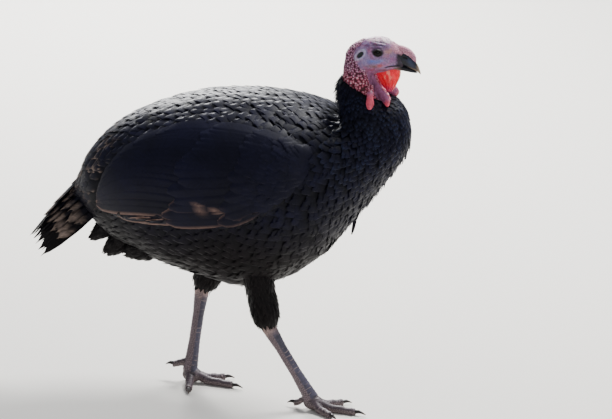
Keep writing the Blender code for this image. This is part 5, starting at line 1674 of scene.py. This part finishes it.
def makeLeg(label, leg):
    # one skin from the hock to the toe tips: plates down the front, two rows side by side, smaller
    # ones behind, grains on the sides, and rings of plates over the toes
    hock, foot = np.array(leg["hock"]), np.array(leg["foot"])
    line = unit(foot - hock)
    front = unit(np.array([1.0, 0, 0]) - line * line[0])
    across = np.cross(line, front)
    share = np.linspace(-0.1, 1.08, 60)[:, None]
    at, deep, wide = np.array(shank["rows"]).T
    a = turns(40)[None]
    parts = [tubeArrays(hock + (foot - hock) * share[..., None]
                        + front * (np.interp(share, at, deep) * np.cos(a))[..., None]
                        + across * (np.interp(share, at, wide) * np.sin(a))[..., None] + walkToBox)]
    tubes = [toeTube(leg, name) for name in toes]
    parts += [tube for tube, _ in tubes] + [footPad(leg)]
    skin = remeshed("legSkin" + label, parts, shank["voxel"], shank["smoothing"], legScales)
    points, normals = meshPlaces(skin.data)
    p = points - walkToBox
    # which limb each point belongs to, by its distance as a share of the limb's radius
    s = ((p - hock) @ (foot - hock)) / ((foot - hock) ** 2).sum()
    off = p - hock - (foot - hock) * np.clip(s, -0.1, 1.0)[:, None]
    best = np.linalg.norm(off, axis=1) / 0.01
    best = np.where(s > 1.0, best * 1.3, best)
    angle = np.degrees(np.arctan2(off @ across, off @ front))
    length = s * np.linalg.norm(foot - hock)
    onToe = np.zeros(len(p))
    for number, (_, (middle, radius, sideways)) in enumerate(tubes):
        far = np.linalg.norm(p[:, None] - middle[None], axis=-1)
        which = far.argmin(1)
        near = far.min(1) / radius[which]
        better = near < best
        best = np.where(better, near, best)
        d = p - middle[which]
        run = np.concatenate([[0], np.linalg.norm(np.diff(middle, axis=0), axis=1).cumsum()])
        angle = np.where(better, np.degrees(np.arctan2(d @ sideways, d[:, 2])), angle)
        length = np.where(better, run[which] + number * 0.2, length)
        onToe = np.where(better, 1.0, onToe)
    # plates: rows of a height, shifted by half a plate from one column to the next
    turned = np.abs(angle)
    column = np.where(turned < 78, np.where(angle > 0, 1, 0), np.where(angle > 0, 3, 2))
    height = np.where(column < 2, shank["plate"], shank["backPlate"])
    height = np.where(onToe > 0, toe["plate"], height)
    shift = np.where(onToe > 0, 0, 0.5 * (column % 2))
    level = (length + 0.001 * valueNoise(points, 0.006, 61)) / height + shift
    t = level - np.floor(level)
    fromEnds = np.minimum(t, 1 - t) * height
    fromSeam = np.where(turned < 78, np.minimum(turned, 78 - turned),
                        np.minimum(180 - turned, turned - 78))
    fromSeam = np.where(onToe > 0, (72 - turned) / 57.3 * 0.006, fromSeam / 57.3 * 0.009)
    toPlate = np.minimum(fromEnds, np.maximum(fromSeam, 0))
    plated = np.where(onToe > 0, smoothStep(72, 60, turned),
                      np.maximum(smoothStep(78, 66, turned), smoothStep(128, 140, turned)))
    plated = plated * np.where(onToe > 0, 1, smoothStep(0.02, 0.08, s))
    grain, _ = pebbles(points, shank["grain"], 62, 16000, 0.6 * shank["grain"])
    plate = 1 - (1 - np.clip(toPlate / 0.0011, 0, 1)) ** 2
    relief = plated * (shank["bulge"] * (plate - 0.6) + shank["overlap"] * (t - 0.4) * plate)
    relief += (1 - plated) * 0.0006 * (grain - 0.5)
    under = smoothStep(0.0015, 0.0, p[:, 2])
    points = points + normals * (relief * (1 - under))[:, None]
    points[:, 2] = np.maximum(points[:, 2], 0.0001)
    movePoints(skin.data, points)
    # colours: plates and toes, the pale hock, each plate's own tint, worn edges, painted shade in the
    # seams
    base = blendColours(flat(legHues["shank"], points), plated * smoothStep(95, 60, turned) * 0.8,
                        legHues["plate"])
    base = blendColours(base, onToe * 0.75, legHues["toe"])
    hockShare = 1 - smoothStep(-0.02, 0.14, s + 0.05 * valueNoise(points, 0.008, 63))
    base = blendColours(base, hockShare, legHues["hock"])
    tint = np.sin(np.floor(level) * 12.9898 + column * 78.233 + onToe * 4.1) * 0.5 + 0.5
    base = base * (0.8 + 0.4 * tint * plated + 0.25 * valueNoise(points, 0.004, 64))[:, None]
    worn = smoothStep(0.8, 0.97, t) * smoothStep(0.15, 0.6, valueNoise(points, 0.01, 65) + 0.35)
    base = blendColours(base, plated * worn * 0.8, legHues["pale"])
    base = blendColours(base, (1 - plated) * smoothStep(0.5, 1, grain) * 0.25, legHues["pale"])
    # painted shade in the seams between plates and grains
    cell = np.where(plated > 0.5, plate, grain)
    paintMesh(skin.data, blendColours(base, 1 - smoothStep(0.0, 0.55, cell), legHues["dip"]))
    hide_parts("shank_" + label, *[f"toe_{label}_{name}" for name in toes])
    print("legSkin" + label, "faces", len(skin.data.polygons))
    makeClaws(label, leg)


def makeClaws(label, leg):
    # a hooked cone of horn past each toe, flatter below, paling to its worn tip
    corners, t = 20, np.linspace(0, 1, 40)
    a = turns(corners)
    radius = (0.004 * (1 - t) ** 0.75 + 0.00035)[:, None]
    flatter = np.where(np.sin(a) < 0, 0.72, 1.0)
    for name in toes:
        path, ahead, length = toePath(leg, name)
        tip = path[-1] + (0, 0, 0.0006)
        # the middle line by share of the claw's length ahead and by height
        reach = ((-0.004, 0), (length * 0.25, 0.0014), (length * 0.62, 0.0004), (length, -0.0022))
        line = np.array([tip + ahead * far + (0, 0, up) for far, up in reach])
        side = unit(np.cross(ahead, upwards))
        grid = (rowsAt(line, t * 3)[:, None] + side * (radius * np.cos(a) * 0.82)[..., None]
                + upwards * (radius * np.sin(a) * flatter)[..., None]) + walkToBox
        grid[..., 2] = np.maximum(grid[..., 2], 0.00015)
        points, quads, tris = tubeArrays(grid)
        share = np.concatenate([np.repeat(t, corners), [0, 1]])
        colour = blendColours(flat(legHues["claw"], points), smoothStep(0.55, 1, share) * 0.8,
                              legHues["clawTip"])
        colour = colour * (1 + 0.15 * valueNoise(points * (1, 1, 3), 0.003, 66))[:, None]
        claw = meshObject(f"claw{label}{name.title()}", points, quads, tris, horn, colour)
        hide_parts(f"claw_{label}_{name}")


for label, leg in legs.items():
    makeLeg(label, leg)
print("legs laid")


# The studio: lights as place, size and power, and the camera's angle, distance, scale and aim
stage = {
    "floor": "#e4e1da", "floorHalf": 6.0, "world": "#e6ebf5", "worldStrength": 0.48,
    "lights": {"key": ((0.9, 1.1, 2.5), 1.1, 140.0), "fill": ((1.6, -2.4, 1.4), 1.6, 12.0),
               "rim": ((-0.9, 2.5, 1.4), 1.2, 150.0)},
    "lightsAim": (0.04, 0, 0.3), "azimuth": 14, "elevation": 18, "distance": 25.0,
    "pixelsPerMetre": 620, "pixelsWide": 612, "aim": (0.0895, 0.3),
}


def makeStage():
    # a pale floor, soft studio lights, and a camera whose right and up axes come from its angles
    half = stage["floorHalf"]
    mesh = bpy.data.meshes.new("floor")
    mesh.from_pydata([(-half, -half, 0), (half, -half, 0), (half, half, 0), (-half, half, 0)], [],
                     [(0, 1, 2, 3)])
    floor = addToScene("floor", mesh)
    paper, _, surface = newMaterial("paleFloor", {"Roughness": 0.9})
    surface.inputs["Base Color"].default_value = (*linearColour(stage["floor"]), 1)
    mesh.materials.append(paper)
    world = bpy.data.worlds.new("studio")
    bpy.context.scene.world = world
    world.use_nodes = True
    sky = world.node_tree.nodes["Background"]
    sky.inputs["Color"].default_value = (*linearColour(stage["world"]), 1)
    sky.inputs["Strength"].default_value = stage["worldStrength"]
    for name, (place, size, power) in stage["lights"].items():
        lamp = bpy.data.lights.new(name, "AREA")
        lamp.shape, lamp.size, lamp.energy = "DISK", size, power
        item = addToScene(name, lamp)
        turn = (Vector(stage["lightsAim"]) - Vector(place)).to_track_quat("-Z", "Y").to_matrix()
        item.matrix_world = Matrix.Translation(place) @ turn.to_4x4()
    around, above = math.radians(stage["azimuth"]), math.radians(stage["elevation"])
    right = Vector((math.cos(around), math.sin(around), 0))
    tilt = math.sin(above)
    up = Vector((-math.sin(around) * tilt, math.cos(around) * tilt, math.cos(above)))
    back = right.cross(up)
    target = Vector(walkToBox) + right * stage["aim"][0] + up * stage["aim"][1]
    lens = bpy.data.cameras.new("photoView")
    lens.sensor_width = 36
    lens.lens = 36 * stage["distance"] / (stage["pixelsWide"] / stage["pixelsPerMetre"])
    camera = addToScene("photoView", lens)
    turn = Matrix((right, up, back)).transposed().to_4x4()
    camera.matrix_world = Matrix.Translation(target + back * stage["distance"]) @ turn
    bpy.context.scene.camera = camera


makeStage()
